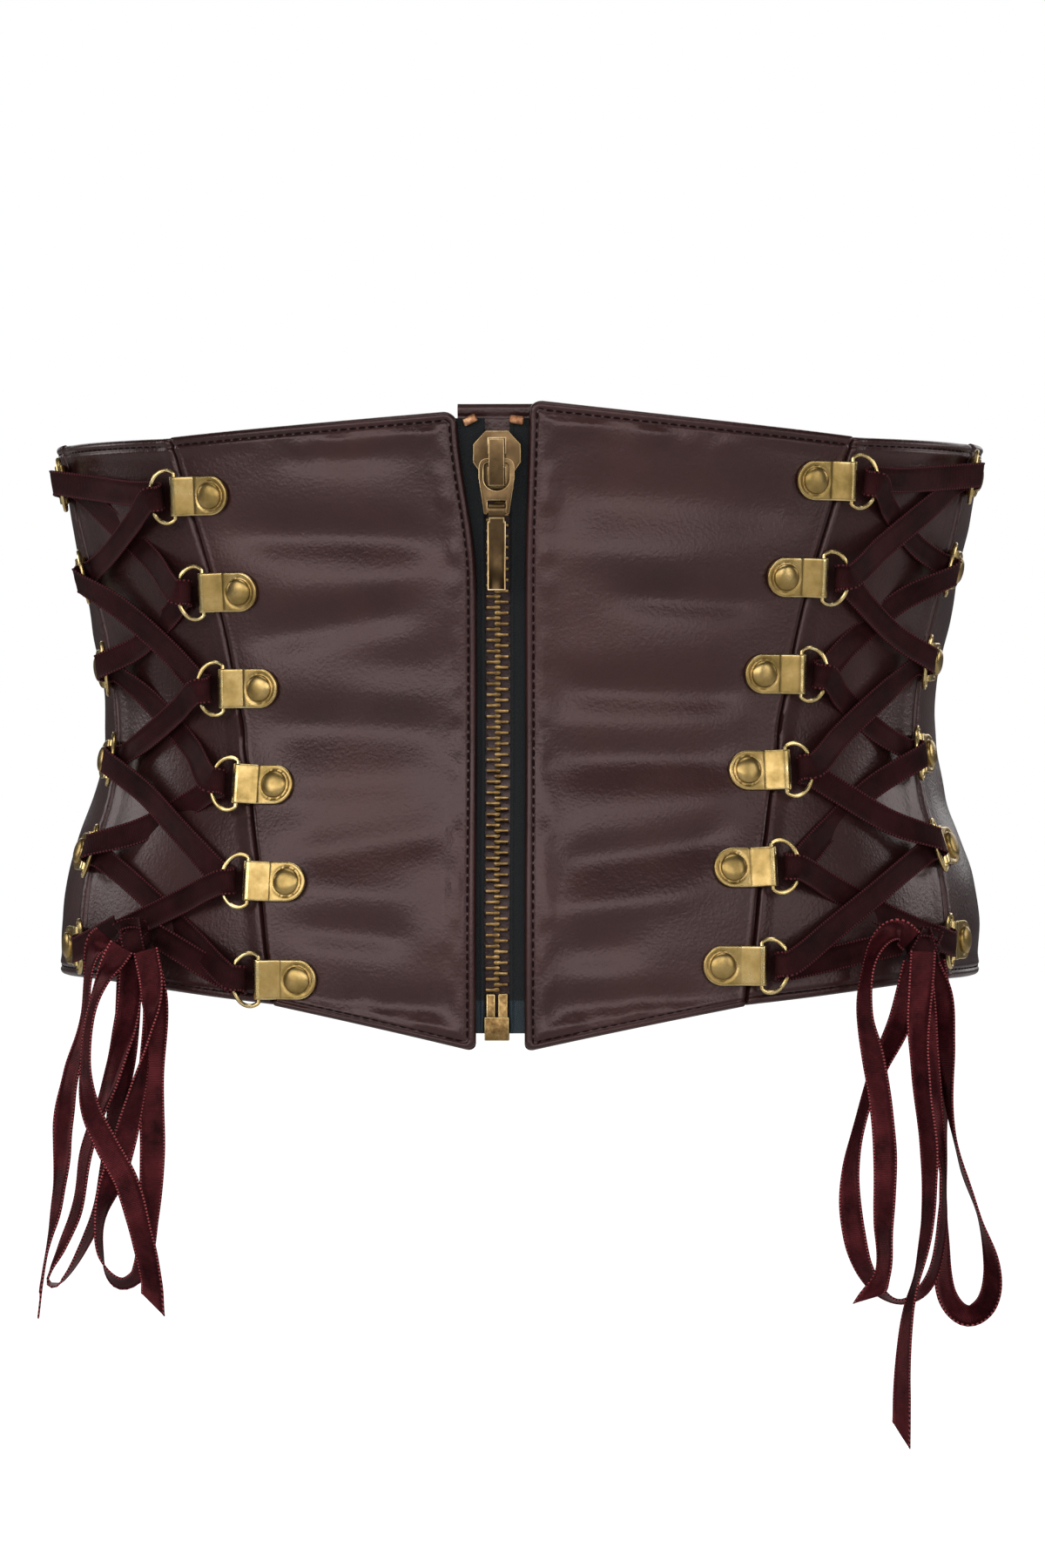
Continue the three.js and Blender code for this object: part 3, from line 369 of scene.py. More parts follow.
hanging = {
    "left_loop_outer": {"end": "object", "cut": 0, "route": [
        (-103.4, -73.9, -59.5, 0), (-104.5, -76, -75, 20), (-109.5, -77.4, -94, 50),
        (-115.5, -78, -112, 60), (-118, -78.4, -128, 60), (-122, -78.2, -138, 70),
        (-125.4, -77.2, -144.6, 82), (-125.8, -76, -148, 88), (-123, -75, -148.2, 88),
        (-117.5, -74, -140, 75), (-112, -73.6, -126, 65), (-109, -73.6, -108, 60), (-105.5, -73.2, -86, 30),
        (-104, -72.2, -59, 0)]},
    "left_loop_inner": {"end": "object", "cut": 0, "route": [
        (-99.4, -77.4, -57.2, 0), (-97.6, -79.8, -66, 15), (-97.8, -80.6, -78, 70), (-101.5, -82, -96, 125),
        (-106.4, -82.8, -115, 165), (-111, -83, -129, 115), (-111, -82.6, -140, 90),
        (-106.5, -81.4, -147.4, 60), (-101, -79.4, -145, 60), (-98.6, -78.8, -130, 40),
        (-97.4, -78.2, -112, 20), (-97.8, -77.6, -92, 10), (-96.6, -77.8, -72, 0), (-99.2, -76, -58.8, 0)]},
    "left_tail_outer": {"end": "bare", "cut": 0.0034, "route": [
        (-110.5, -74.6, -53.2, -20), (-114, -72.8, -56.6, 40), (-115.6, -71.6, -66, 70),
        (-116.6, -71, -79, 58), (-120.4, -70.6, -91, 44), (-122.6, -70.4, -104, 34),
        (-123, -70.2, -116, 46), (-124.6, -70, -128, 66), (-127, -69.8, -140, 80),
        (-129.2, -69.8, -154.6, 82)]},
    "left_tail_inner": {"end": "bare", "cut": 0.0032, "route": [
        (-105.8, -78.8, -56.2, 0), (-110.6, -81.8, -65, 50), (-114, -84, -76, 66), (-115, -85, -88, 62),
        (-113.6, -85.6, -100, 30), (-109, -86, -110, 10), (-103.6, -86, -120, 15), (-99.6, -85.8, -134, 25),
        (-97, -85.4, -147, 25), (-96.6, -85.2, -153, 25)]},
    "right_loop_inner": {"end": "object", "cut": 0, "route": [
        (110.4, -67, -60.8, 0), (106.4, -67.6, -76, 20), (100.6, -68.4, -89, 50), (95.6, -69.6, -103, 68),
        (92.8, -70.4, -117, 50), (93, -70.8, -131, 28), (96.6, -70.6, -144.4, 45),
        (104.4, -69.4, -152.6, 75), (112.6, -67.6, -149.6, 60), (117, -66.4, -138, 65),
        (118, -66, -120, 75), (115, -65, -96, 40), (111.6, -65.2, -62, 0)]},
    "right_loop_outer": {"end": "object", "cut": 0, "route": [
        (114, -63.4, -61.8, 0), (117.4, -60.6, -70, 10), (118.4, -59.8, -82, 35), (119.8, -59.4, -101, 72),
        (123, -59.6, -116, 84), (128, -60, -131, 82), (131.6, -60.2, -145, 55), (130, -59.6, -154.4, 40),
        (124.2, -58, -157.6, 40), (119, -56.4, -151, 45), (118.2, -55.4, -134, 70), (118.6, -55, -112, 78),
        (118.4, -55.2, -90, 60), (117.6, -56.6, -74, 30), (115.2, -61.4, -60.2, 0)]},
    "right_tail_inner": {"end": "bare", "cut": -0.0034, "route": [
        (109.2, -68.4, -54.6, 0), (105.2, -71.6, -51.6, 30), (100.6, -74.2, -54.4, 50),
        (97.4, -76.4, -62, 62), (96.4, -76.8, -74, 55), (98.6, -76, -86, 30), (100.8, -74.8, -99, 30),
        (102, -75.2, -113, 25), (101.6, -75.6, -131, 40), (101.4, -77, -144, 60), (97.4, -77, -151.6, 30)]},
    "right_tail_outer": {"end": "bare", "cut": 0.0034, "route": [
        (112.4, -69.4, -57.6, 0), (111.8, -72.4, -67, 20), (111, -75.4, -80, 40), (112, -77, -95, 45),
        (113.8, -78, -112, 50), (113.4, -78.6, -129, 62), (111.4, -78.8, -142, 75), (108, -78.8, -155, 68),
        (106.6, -78.6, -170, 56), (106.2, -78.4, -188.4, 48)]},
}


def wayAt(places, k):
    return (places[min(k + 1, len(places) - 1)] - places[max(k - 1, 0)]).normalized()


def curveThrough(places, extras, step):
    last = len(places) - 1
    madePlaces, madeExtras = [], []
    for k in range(last):
        a, b = places[k], places[k + 1]
        wayA, wayB = wayAt(places, k), wayAt(places, k + 1)
        long = (b - a).length
        count = max(2, round(long / step))
        rows = (extras[max(k - 1, 0)], extras[k], extras[k + 1], extras[min(k + 2, last)])
        for i in range(count + (k == last - 1)):
            t = i / count
            pull = wayA * (t ** 3 - 2 * t * t + t) + wayB * (t ** 3 - t * t)
            madePlaces.append(a.lerp(b, t * t * (3 - 2 * t)) + pull * long)
            madeExtras.append([
                0.5 * (2 * q + (r - p) * t + (2 * p - 5 * q + 4 * r - s) * t * t
                       + (3 * q - p - 3 * r + s) * t ** 3)
                for p, q, r, s in zip(*rows)])
    return madePlaces, madeExtras


def lengthsAlong(places):
    lengths = [0.0]
    for a, b in zip(places, places[1:]):
        lengths.append(lengths[-1] + (b - a).length)
    return lengths


def ribbonShape(places, faces, cut=0.0, wide=1.0, seed=0.0):
    profile = ribbonWork["profile"]
    half = ribbonWork["wide"] / 2
    lengths = lengthsAlong(places)
    ring = 2 * len(profile)
    points, weave = [], []
    for k, (place, face) in enumerate(zip(places, faces)):
        along = wayAt(places, k)
        across = face.cross(along).normalized()
        up = along.cross(across)
        skew = cut * smooth(lengths[k], lengths[-1] - ribbonWork["cut"], lengths[-1])
        cup = 0.0005 * noise.noise(Vector((lengths[k] * 45, seed, 0)))
        for layer in (1, -1):
            for share, thick in profile[::layer]:
                lift = thick * layer + cup * share * share
                points.append(place + across * (share * half * wide) + up * lift + along * (skew * share))
                weave.append((share * half, lengths[k]))
    quads = hoopFaces(ring, len(places))
    for start, turned in ((0, False), (len(points) - ring, True)):
        for i in range(len(profile) - 1):
            quad = (start + i, start + ring - 1 - i, start + ring - 2 - i, start + i + 1)
            quads.append(quad[::-1] if turned else quad)
    return points, quads, weave


def makeWoven(node, shapes, material):
    points, faces, weave = joined(shapes)
    mesh = meshFrom(node, points, faces, [material], 60)
    layer = mesh.uv_layers.new(name="weave")
    for loop in mesh.loops:
        layer.data[loop.index].uv = weave[loop.vertex_index]
    return newPiece(f"{node}_satin", mesh, node)


def turnedFaces(places, turns):
    faces = []
    for k, turn in enumerate(turns):
        along = wayAt(places, k)
        front = Vector((0, -1, 0))
        front = (front - along * front.dot(along)).normalized()
        faces.append(Matrix.Rotation(math.radians(turn), 3, along) @ front)
    return faces


def makeHanging():
    for index, (name, ribbon) in enumerate(hanging.items()):
        route = ribbon["route"]
        stops = [Vector(row[:3]) * mm for row in route]
        places, extras = curveThrough(stops, [[row[3]] for row in route], ribbonWork["step"])
        turns = [turn + 9 * noise.noise(Vector((0.1 * k, 5.5 * index, 0)))
                 for k, (turn,) in enumerate(extras)]
        shape = ribbonShape(places, turnedFaces(places, turns), ribbon["cut"], seed=index * 3.7)
        made = makeWoven(f"ribbon_{name}", [shape], ribbonSatin)


makeHanging()
print("hanging ribbons made")


# Ring sets, and the lacing that runs through them
ringWork = {
    "rows": 6, "tabHalf": 0.0054, "tabReach": 0.0108, "rivetInset": 0.008, "seat": 0.00015,
    "base": 0.0003, "plate": 0.00135, "foldRadius": 0.0014, "wireRadius": 0.00062,
    "halfHeight": 0.0072, "depth": 0.0072, "belly": 0.0024, "lift": 0.0012,
    "top": {"front": 0.068, "rear": 0.0725}, "step": {"front": 0.0263, "rear": 0.0258},
    # each side's rows stand a little higher or lower than the table's
    "shift": {"front": {-1: -0.0012, 1: 0.0027}, "rear": {-1: -0.0006, 1: 0.0012}},
    # the rivet's dome from its foot up, as radius and height
    "rivet": [(0.00365, 0.0009), (0.00368, 0.0017), (0.0036, 0.00195), (0.0033, 0.00222), (0.0028, 0.00246),
              (0.0021, 0.00264), (0.0013, 0.00274), (0.0006, 0.00277)],
    "rivetTop": 0.00278,
    # where the plate rises to its fold, and two pressed grooves as place, width and depth
    "foldRise": (0.005, 0.01), "crease": (0.0052, 0.0005, 0.0002), "rivetSeat": (0.004, 0.00028, 0.00022),
    "bevelReach": 0.0004, "bevelDeep": 0.00034,
}

laceWork = {
    "over": 0.0015, "under": 0.0007, "out": 0.0021, "back": 0.004, "slant": 0.0008,
    "ends": {"left": {"entry": (-0.005, 0.004, 0.0032), "exit": (0.0062, 0.0006, 0.001)},
             "right": {"entry": (0.0042, 0.005, 0.0028), "exit": (-0.0062, -0.0006, 0.0016)}},
}

knots = {
    "left": {"at": (-0.103, -0.0744, -0.0544), "ring": (0.0056, 0.004, 0.0046)},
    "right": {"at": (0.1126, -0.0646, -0.0568), "ring": (0.0054, 0.004, 0.0046)},
}


def ringPlace(column, side, row):
    z = ringWork["top"][column] - ringWork["step"][column] * row + ringWork["shift"][column][side]
    away = -side if column == "front" else side

    def at(height, inset):
        turn = seamTurn(column, side, height)
        here = skin(turn, height)
        return skin(turn + away * inset / math.hypot(here.x, here.y), height)

    inset = ringWork["rivetInset"]
    seat = at(z, inset)
    along = (at(z, inset - 0.002) - at(z, inset + 0.002)).normalized()
    rise = (at(z + 0.004, inset) - at(z - 0.004, inset)).normalized()
    out = along.cross(rise).normalized()
    if out.dot(seat) < 0:
        out.negate()
    return {"rivet": seat + out * ringWork["seat"], "along": along, "up": out.cross(along).normalized(),
            "rise": rise, "out": out}


def wirePlace(place):
    reach = ringWork["tabReach"] + ringWork["depth"]
    lift = ringWork["base"] + ringWork["foldRadius"] + ringWork["lift"]
    return place["rivet"] + place["along"] * reach + place["out"] * lift


def surfaceFace(place):
    return Vector((place.x / form["waistHalf"] ** 2, place.y / form["frontDepth"] ** 2, 0)).normalized()


def laceStops(name):
    side = sides[name]
    rows = list(range(ringWork["rows"]))
    visits = [("rear" if row % 2 else "front", row, 1) for row in reversed(rows)]
    visits += [("front" if row % 2 else "rear", row, -1) for row in rows]
    knot = Vector(knots[name]["at"])
    places = [knot + Vector(laceWork["ends"][name]["entry"])]
    faces = [surfaceFace(knot)]
    sign, last = 1, None
    for column, row, rise in visits:
        place = ringPlace(column, side, row)
        wire = wirePlace(place)
        if last:
            lastWire, lastRow = last
            level = laceWork["over"] if lastRow == row or rise * side < 0 else -laceWork["under"]
            turnA, turnB = math.atan2(lastWire.x, -lastWire.y), math.atan2(wire.x, -wire.y)
            for share in (0.3, 0.7):
                lift = laceWork["slant"] if share > 0.5 and lastRow != row else 0
                at = skin(mix(turnA, turnB, share), mix(lastWire.z, wire.z, share), level + lift)
                places.append(at)
                faces.append(surfaceFace(at) * sign)
        for back, out in ((0, 1), (-0.85, 0.55), (-0.85, -0.55), (0, -1)):
            slip = place["rise"] * (rise * laceWork["slant"] * out)
            places.append(wire + place["along"] * (laceWork["back"] * back)
                          + place["out"] * (laceWork["out"] * out) - slip)
            faces.append((place["along"] * back + place["out"] * out).normalized() * sign)
        sign = -sign
        last = (wire, row)
    places.append(knot + Vector(laceWork["ends"][name]["exit"]))
    faces.append(surfaceFace(knot) * sign)
    return places, faces


def makeLaces():
    for index, name in enumerate(sides):
        stops, stopFaces = laceStops(name)
        places, extras = curveThrough(stops, [list(face) for face in stopFaces], ribbonWork["step"])
        faces = [Vector(extra).normalized() for extra in extras]
        makeWoven(f"lace_{name}", [ribbonShape(places, faces, seed=40.0 + index)], shadedLaceSatin)


def bandRound(centre, deep, high, lean, drift, wide, seed):
    # a ribbon laid round the knot, its ends overlapping behind
    turn = Matrix.Rotation(lean, 3, "Y")
    steps = 52
    places, faces = [], []
    for k in range(steps + 1):
        angle = math.radians(84 + 384 * k / steps)
        swell = 1 + 0.05 * math.sin(3 * angle + seed) + 0.0015 * k
        at = Vector((drift * math.cos(angle), deep * math.sin(angle), high * math.cos(angle))) * swell
        out = Vector((0, math.sin(angle) / deep, math.cos(angle) / high)).normalized()
        places.append(centre + turn @ at)
        faces.append(turn @ out)
    return ribbonShape(places, faces, wide=wide, seed=seed)


def topFold(centre, reach, rise, lean, seed):
    # a low fold of ribbon over the knot's top
    steps = 16
    places, faces = [], []
    for k in range(steps + 1):
        angle = math.pi * k / steps
        at = Vector((-reach * math.cos(angle), -0.0012, rise * math.sin(angle)))
        places.append(centre + at + Vector((lean * math.sin(angle), 0, 0)))
        faces.append(Vector((-math.cos(angle), -0.5, math.sin(angle) + 0.1)).normalized())
    return ribbonShape(places, faces, wide=0.8, seed=seed)


def makeKnots():
    for name, side in sides.items():
        centre = Vector(knots[name]["at"])
        wide, deep, high = knots[name]["ring"]
        bm = bmesh.new()
        bmesh.ops.create_icosphere(bm, subdivisions=3, radius=1)
        lump = [centre + Vector((v.co.x * wide * 0.9, v.co.y * deep * 0.85, v.co.z * high * 0.85))
                for v in bm.verts]
        lumpFaces = [tuple(v.index for v in face.verts) for face in bm.faces]
        bm.free()
        under = centre + Vector((0.0012 * side, 0, -0.0004))
        makeWoven(f"knot_{name}", [
            (lump, lumpFaces, [(0.001, 0.001)] * len(lump)),
            bandRound(centre, deep * 1.02, high, 0.35 * side, 0.0008, 0.86, 1.0),
            bandRound(under, deep * 0.95, high * 0.9, -0.5 * side, 0.001, 0.7, 2.0),
            topFold(centre + Vector((0.001 * side, 0, 0.003)), 0.0036, 0.0016, -0.001 * side, 3.0),
        ], shadedLaceSatin)


makeLaces()
makeKnots()
print("lacing and knots made")


def objectPlace(tree):
    return addNode(tree, "ShaderNodeTexCoord").outputs["Object"]


def leatherMaterial():
    # Coated faux nappa: a thin satin polyurethane film over a fine grain, with soft sheens on dark folds
    material, tree, shader = newMaterial("brownFauxNappa")
    place = objectPlace(tree)
    cloud = clouds(tree, place, 28, 4)
    # grain cells about 0.7 mm across, and pores finer still
    cells = addNode(tree, "ShaderNodeTexVoronoi", {"feature": "SMOOTH_F1"}, {"Vector": place, "Scale": 1400})
    grain = maths(tree, "MULTIPLY_ADD", cells.outputs["Distance"], 0.6, clouds(tree, place, 800, 4))
    setInputs(tree, shader, {
        "Base Color": ramp(tree, cloud, [(0.35, "#281211"), (0.5, "#2f1716"), (0.68, "#381d1c")]),
        "Normal": bumpOf(tree, grain, 0.32, 0.0003),
        "Roughness": mapped(tree, cloud, (0.3, 0.7), (0.31, 0.4)),
        "IOR": 1.5, "Specular IOR Level": 0.55, "Specular Tint": colour("#ffe2e0"),
        "Coat Weight": 0.06, "Coat Roughness": 0.3})
    return material


def threadMaterial():
    # Bonded polyester sewing thread, its deep brown darkened towards black as painted shade of the stitch
    # holes, dull against the leather
    material, tree, shader = newMaterial("sewingThreadPaintedShade")
    twist = clouds(tree, objectPlace(tree), 2500, 2)
    setInputs(tree, shader, {"Base Color": ramp(tree, twist, [(0.3, "#100809"), (0.7, "#221315")]),
                             "Roughness": 0.8, "IOR": 1.5, "Specular IOR Level": 0.1})
    return material


def brassMaterial(name, darkCode, midCode, brightCode, roughness, patch):
    # Antique plated brass: tumbled, with dull tarnished patches between rubbed bright ones
    material, tree, shader = newMaterial(name)
    place = objectPlace(tree)
    tarnish = clouds(tree, place, 1 / patch, 5, 0.6)
    setInputs(tree, shader, {
        "Base Color": ramp(tree, tarnish, [(0.3, darkCode), (0.5, midCode), (0.72, brightCode)]),
        "Normal": bumpOf(tree, clouds(tree, place, 2600, 3), 0.12, 0.0001),
        "Roughness": mapped(tree, tarnish, (0.3, 0.7), (roughness + 0.12, roughness - 0.05)),
        "Metallic": 1.0})
    return material


def tapeMaterial():
    # Woven polyester zip tape: a tight plain weave in near black, with a glossy bonded film at its foot
    material, tree, shader = newMaterial("blackWovenTape")
    parts = addNode(tree, "ShaderNodeSeparateXYZ", inputs={"Vector": objectPlace(tree)}).outputs
    weave = maths(tree, "MULTIPLY", sineOf(tree, parts["X"], 0.0007), sineOf(tree, parts["Z"], 0.0006))
    inFilm = mapped(tree, parts["Z"], (-0.07, -0.0704))
    tone = addNode(tree, "ShaderNodeMix", {"data_type": "RGBA"},
                   {0: inFilm, 6: colour("#101416"), 7: colour("#1b2a33")})
    setInputs(tree, shader, {
        "Base Color": tone.outputs[2], "Normal": bumpOf(tree, weave, 0.5, 0.0002),
        "Roughness": mapped(tree, inFilm, target=(0.85, 0.3)), "IOR": 1.5})
    return material


leather = leatherMaterial()
threadWithHoleShade = threadMaterial()
wovenTape = tapeMaterial()
ringBrass = brassMaterial("antiqueBrass", "#86703f", "#a98d57", "#c6ab74", 0.29, 0.006)
# rubbed bright brass: wear on edges, and a painted highlight where it covers the ring wire and the tab's
# fold
rubbedAndGlintBrass = brassMaterial("rubbedBrassAndPaintedGlint", "#b59a62", "#d2b87e", "#ead6a4", 0.22, 0.003)
toothBrass = brassMaterial("zipToothBrass", "#553f26", "#80653f", "#ae8f60", 0.32, 0.002)
sliderBrass = brassMaterial("darkenedBrass", "#483825", "#5f4b33", "#7a6345", 0.31, 0.008)
sliderEdge = brassMaterial("wornBrassEdge", "#93774e", "#b4966a", "#d6bd90", 0.24, 0.006)
stopCopper = brassMaterial("copperStop", "#6e4630", "#94684a", "#c09a78", 0.3, 0.002)
print("materials made")

leatherWork = {
    "cell": 0.0013, "fineCell": 0.00028, "fine": 0.0042,
    # the panels' lengths across and up, for their grids
    "frontWide": 0.082, "frontHigh": 0.17, "bandHigh": 0.15, "backWide": 0.3,
    "foldDeep": 0.0012, "rippleDeep": 0.0008, "rippleFine": 0.00018,
    "rollReach": 0.0014, "rollRise": 0.0006,
    "grooveAt": 0.0025, "grooveWide": 0.00055, "grooveDeep": 0.0005,
    "puffReach": 0.0065, "padAt": 0.006, "padWide": 0.0032, "padRise": 0.0008, "innerRoll": 0.0008,
    "seamReach": 0.0011, "seamRise": 0.00016,
    "stitchPitch": 0.0026, "stitchLong": 0.0021, "stitchThick": 0.0005,
}

# hemShare: the lower corners' height as a share of the upper ones'; seed: the ripples' own
fronts = {
    "left": {"side": -1, "edge": 0.0056, "flare": 0.0052, "corner": 0.004, "top": 0.089, "hemShare": 0.8,
             "seed": 3.1},
    "right": {"side": 1, "edge": 0.0075, "flare": 0.0012, "corner": 0.0035, "top": 0.092, "hemShare": 0.8,
              "seed": 11.7},
}

# Soft folds: height as a share of the reach from the waist, from and to as shares across from the front
# edge to the seam, slope and width in mm, depth in shares of foldDeep (negative stands proud)
foldTable = {
    "left": [
        (0.93, 0.25, 0.62, 1, 4, 0.9), (0.67, 0.0, 1.0, 3, 6.5, 2.3), (0.50, 0.3, 0.8, -3, 5, -0.5),
        (0.38, 0.25, 0.95, -12, 5.5, 1.5), (0.24, 0.05, 0.5, 3, 7, 0.6), (0.04, 0.0, 0.95, 2, 7, 1.6),
        (-0.13, 0.3, 0.9, -4, 5, -0.5), (-0.33, 0.05, 0.85, -8, 6, 1.5), (-0.50, 0.3, 0.7, 3, 5, -0.6),
        (-0.62, 0.35, 0.95, 5, 5, 1.3), (-0.86, 0.0, 0.8, -3, 4.5, 1.1),
    ],
    "right": [
        (0.78, 0.0, 0.95, -6, 9, 2.1), (0.60, 0.15, 0.6, -2, 5, -0.5), (0.46, 0.35, 0.9, -3, 4.5, 1.3),
        (0.30, 0.1, 0.8, 2, 6, -0.5), (0.16, 0.0, 0.85, -2, 5.5, 1.6), (-0.06, 0.1, 0.8, 0, 5.5, 1.2),
        (-0.20, 0.2, 0.9, 4, 5, -0.5), (-0.36, 0.1, 0.9, 9, 6, 1.8), (-0.52, 0.2, 0.75, 6, 4, -0.7),
        (-0.68, 0.0, 0.5, 4, 6, 1.3), (-0.84, 0.1, 0.8, 2, 4.5, 1.1),
    ],
}


def foldPress(name, across, z):
    reach = form["sideTop"] if z > 0 else -form["centreHem"]
    press = 0
    for height, start, end, slope, wide, deep in foldTable[name]:
        middle, half = (start + end) / 2, (end - start) / 2
        level = height * reach + slope * mm * (across - middle)
        away = (z - level) / (wide * mm)
        if abs(away) < 3:
            ends = smooth(half - abs(across - middle), -0.14, 0.14)
            press += deep * leatherWork["foldDeep"] * ends * math.exp(-away * away)
    return press


def ripple(x, z, seed):
    soft = noise.noise(Vector((x * 16, z * 52, seed)))
    fine = noise.noise(Vector((x * 38, z * 120, seed + 7.3)))
    return leatherWork["rippleDeep"] * soft + leatherWork["rippleFine"] * fine


def rim(d):
    work = leatherWork
    if d < work["rollReach"]:
        return mix(-form["leather"] / 2, work["rollRise"], quarterRound(d / work["rollReach"]))
    fade = 1 - smooth(d, work["grooveAt"], work["puffReach"])
    return work["rollRise"] * fade - work["grooveDeep"] * bell(d, work["grooveAt"], work["grooveWide"])


def edgePad(d, across, x, z):
    # the padding swells inside the topstitching and puckers along it
    pucker = 1 + 0.9 * noise.noise(Vector((x * 170, z * 170, 5.5)))
    swell = leatherWork["padRise"] * bell(d, leatherWork["padAt"], leatherWork["padWide"])
    return swell * pucker * smooth(d, 0.0028, 0.0055) * (1 - smooth(across, 0.5, 0.8))


def seamRim(d, z):
    work = leatherWork
    pucker = 1 + 0.6 * math.cos(2 * math.pi * z / work["stitchPitch"])
    ridge = work["seamRise"] * pucker * bell(d, 0.0013, 0.0005)
    return ridge - form["leather"] / 2 * (1 - quarterRound(min(d / work["seamReach"], 1)))


def innerRim(d):
    return -form["leather"] / 2 * (1 + quarterRound(min(d / leatherWork["innerRoll"], 1)))


def frontEdgeX(panel, z):
    flare = panel["flare"] * smooth(z, form["sideTop"] / 2, panel["top"])
    return form["zipMiddle"] + panel["side"] * (panel["edge"] + flare)


def frontSpan(panel, z):
    return turnAtX(frontEdgeX(panel, z), z), seamTurn("front", panel["side"], z)


def frontPlace(panel, across, up):
    nearWide = form["waistHalf"] * math.sin(math.radians(form["seams"]["front"][0][0][1]))
    corner = panel["corner"]
    inset = min(across * nearWide, corner)
    drop = corner - math.sqrt(max(corner ** 2 - (corner - inset) ** 2, 0))
    upper = mix(panel["top"], form["sideTop"], across)
    lower = mix(form["centreHem"], form["seamHem"], across)
    z = mix(lower + drop * 0.6, upper - drop, up)
    return mix(*frontSpan(panel, z), across), z, upper, lower


def frontWide(panel, z):
    start, end = frontSpan(panel, z)
    return lengthsAlong([skin(mix(start, end, k / 4), z) for k in range(5)])[-1]


def cornerDistance(s, h, corner):
    if s < corner and h < corner:
        return max(corner - math.hypot(corner - s, corner - h), 0)
    return min(s, h)


def frontPoint(name, across, up, layer):
    panel = fronts[name]
    corner = panel["corner"]
    turn, z, upper, lower = frontPlace(panel, across, up)
    wide = frontWide(panel, z)
    s = across * wide
    d = min(cornerDistance(s, upper - z, corner),
            cornerDistance(s, (z - lower) / panel["hemShare"], corner))
    if across == 0 or up in (0, 1):
        d = 0
    toSeam = (1 - across) * wide
    press = foldPress(name, across, z)
    press = mix(min(press, 0.0004), press, smooth(across, 0.02, 0.3))
    press *= (1 - 0.75 * smooth(across, 0.72, 0.98)) * smooth(d, 0.0008, 0.009)
    wave = ripple(turn * 0.1, z, panel["seed"]) * smooth(min(d, toSeam), 0.0, 0.012)
    if layer:
        return skin(turn, z, innerRim(min(d, toSeam)) - press + min(wave, 0))
    seam = seamRim(toSeam, z) * smooth(min(upper - z, z - lower), 0, 0.002)
    return skin(turn, z, rim(d) + edgePad(d, across, s, z) + seam + wave - press)


def gridShares(length, step=leatherWork["cell"]):
    return spread(length, step, leatherWork["fine"], leatherWork["fineCell"])


leatherFinish = {"material": leather, "ending": "leather", "slot": "leather"}


def addWall(node, finish, acrossShares, upShares, pointAt, degrees=60):
    points, faces = closedWall(acrossShares, upShares, pointAt)
    mesh = meshFrom(node, points, faces, [finish["material"]], degrees)
    newPiece(f"{node}_{finish['ending']}", mesh, node)


def makeFrontPanels():
    for name in fronts:
        addWall(f"front_panel_{name}", leatherFinish,
                gridShares(leatherWork["frontWide"]), gridShares(leatherWork["frontHigh"]),
                lambda a, u, layer: frontPoint(name, a, u, layer))


sideWork = {"lap": 0.007, "radius": 0.115, "wide": 0.075,
            "border": 0.0004, "face": 0.0011, "underFace": 0.0023}


def sidePoint(side, across, up, layer):
    lower = mix(form["seamHem"], form["sideHem"], smooth(across, -0.2, 1.0) * 1.1 - 0.1)
    upper = form["sideTop"] - form["gap"]
    z = mix(lower, upper, up)
    lap = side * sideWork["lap"] / form["waistHalf"]
    start, end = seamTurn("front", side, z) - lap, seamTurn("rear", side, z) + lap
    turn = mix(start, end, across)
    toSide = min(across, 1 - across) * abs(end - start) * sideWork["radius"]
    past = toSide - sideWork["lap"]
    toEnds = 0 if up in (0, 1) else min(upper - z, z - lower)
    level = mix(sideWork["border"], sideWork["face"], smooth(past, 0.0015, 0.006))
    level = mix(sideWork["underFace"], level, smooth(past, -0.0001, 0.0011))
    if layer:
        return skin(turn, z, innerRim(min(toEnds, toSide)) - level)
    wave = ripple(turn * 0.1, z, 21.0 + side) * 0.8 * smooth(past, 0.001, 0.012)
    edge = -form["leather"] / 2 if across in (0, 1) else rim(toEnds)
    return skin(turn, z, edge - level + min(wave, 0.0001))


def makeSidePanels():
    for name, side in sides.items():
        beside = [(sideWork["lap"] + apart * mm) / sideWork["wide"]
                  for apart in (-0.6, -0.2, 0.2, 0.5, 0.8, 1.2, 1.8)]
        acrossShares = sorted([k / 56 for k in range(57)] + beside + [1 - share for share in beside])
        addWall(f"side_panel_{name}", leatherFinish,
                acrossShares, gridShares(leatherWork["bandHigh"], leatherWork["cell"] * 1.2),
                lambda a, u, layer: sidePoint(side, a, u, layer))


def backPoint(across, up, layer):
    z = mix(form["sideHem"], form["sideTop"], up)
    start = seamTurn("rear", 1, z)
    turn = mix(start, 2 * math.pi - start, across)
    toSeam = min(across, 1 - across) * leatherWork["backWide"]
    toEnds = 0 if up in (0, 1) else min(form["sideTop"] - z, z - form["sideHem"])
    wave = 1.3 * ripple(turn * 0.1, z, 31.0) * smooth(min(toSeam, toEnds), 0.0, 0.015)
    if layer:
        return skin(turn, z, innerRim(min(toEnds, toSeam)) + min(wave, 0))
    return skin(turn, z, rim(toEnds) + seamRim(toSeam, z) * smooth(toEnds, 0, 0.002) + wave)


def makeBackPanel():
    addWall("back_panel", leatherFinish, gridShares(leatherWork["backWide"], 0.0024),
            gridShares(leatherWork["bandHigh"], 0.0017), backPoint)


makeFrontPanels()
makeSidePanels()
makeBackPanel()
print("leather panels made")


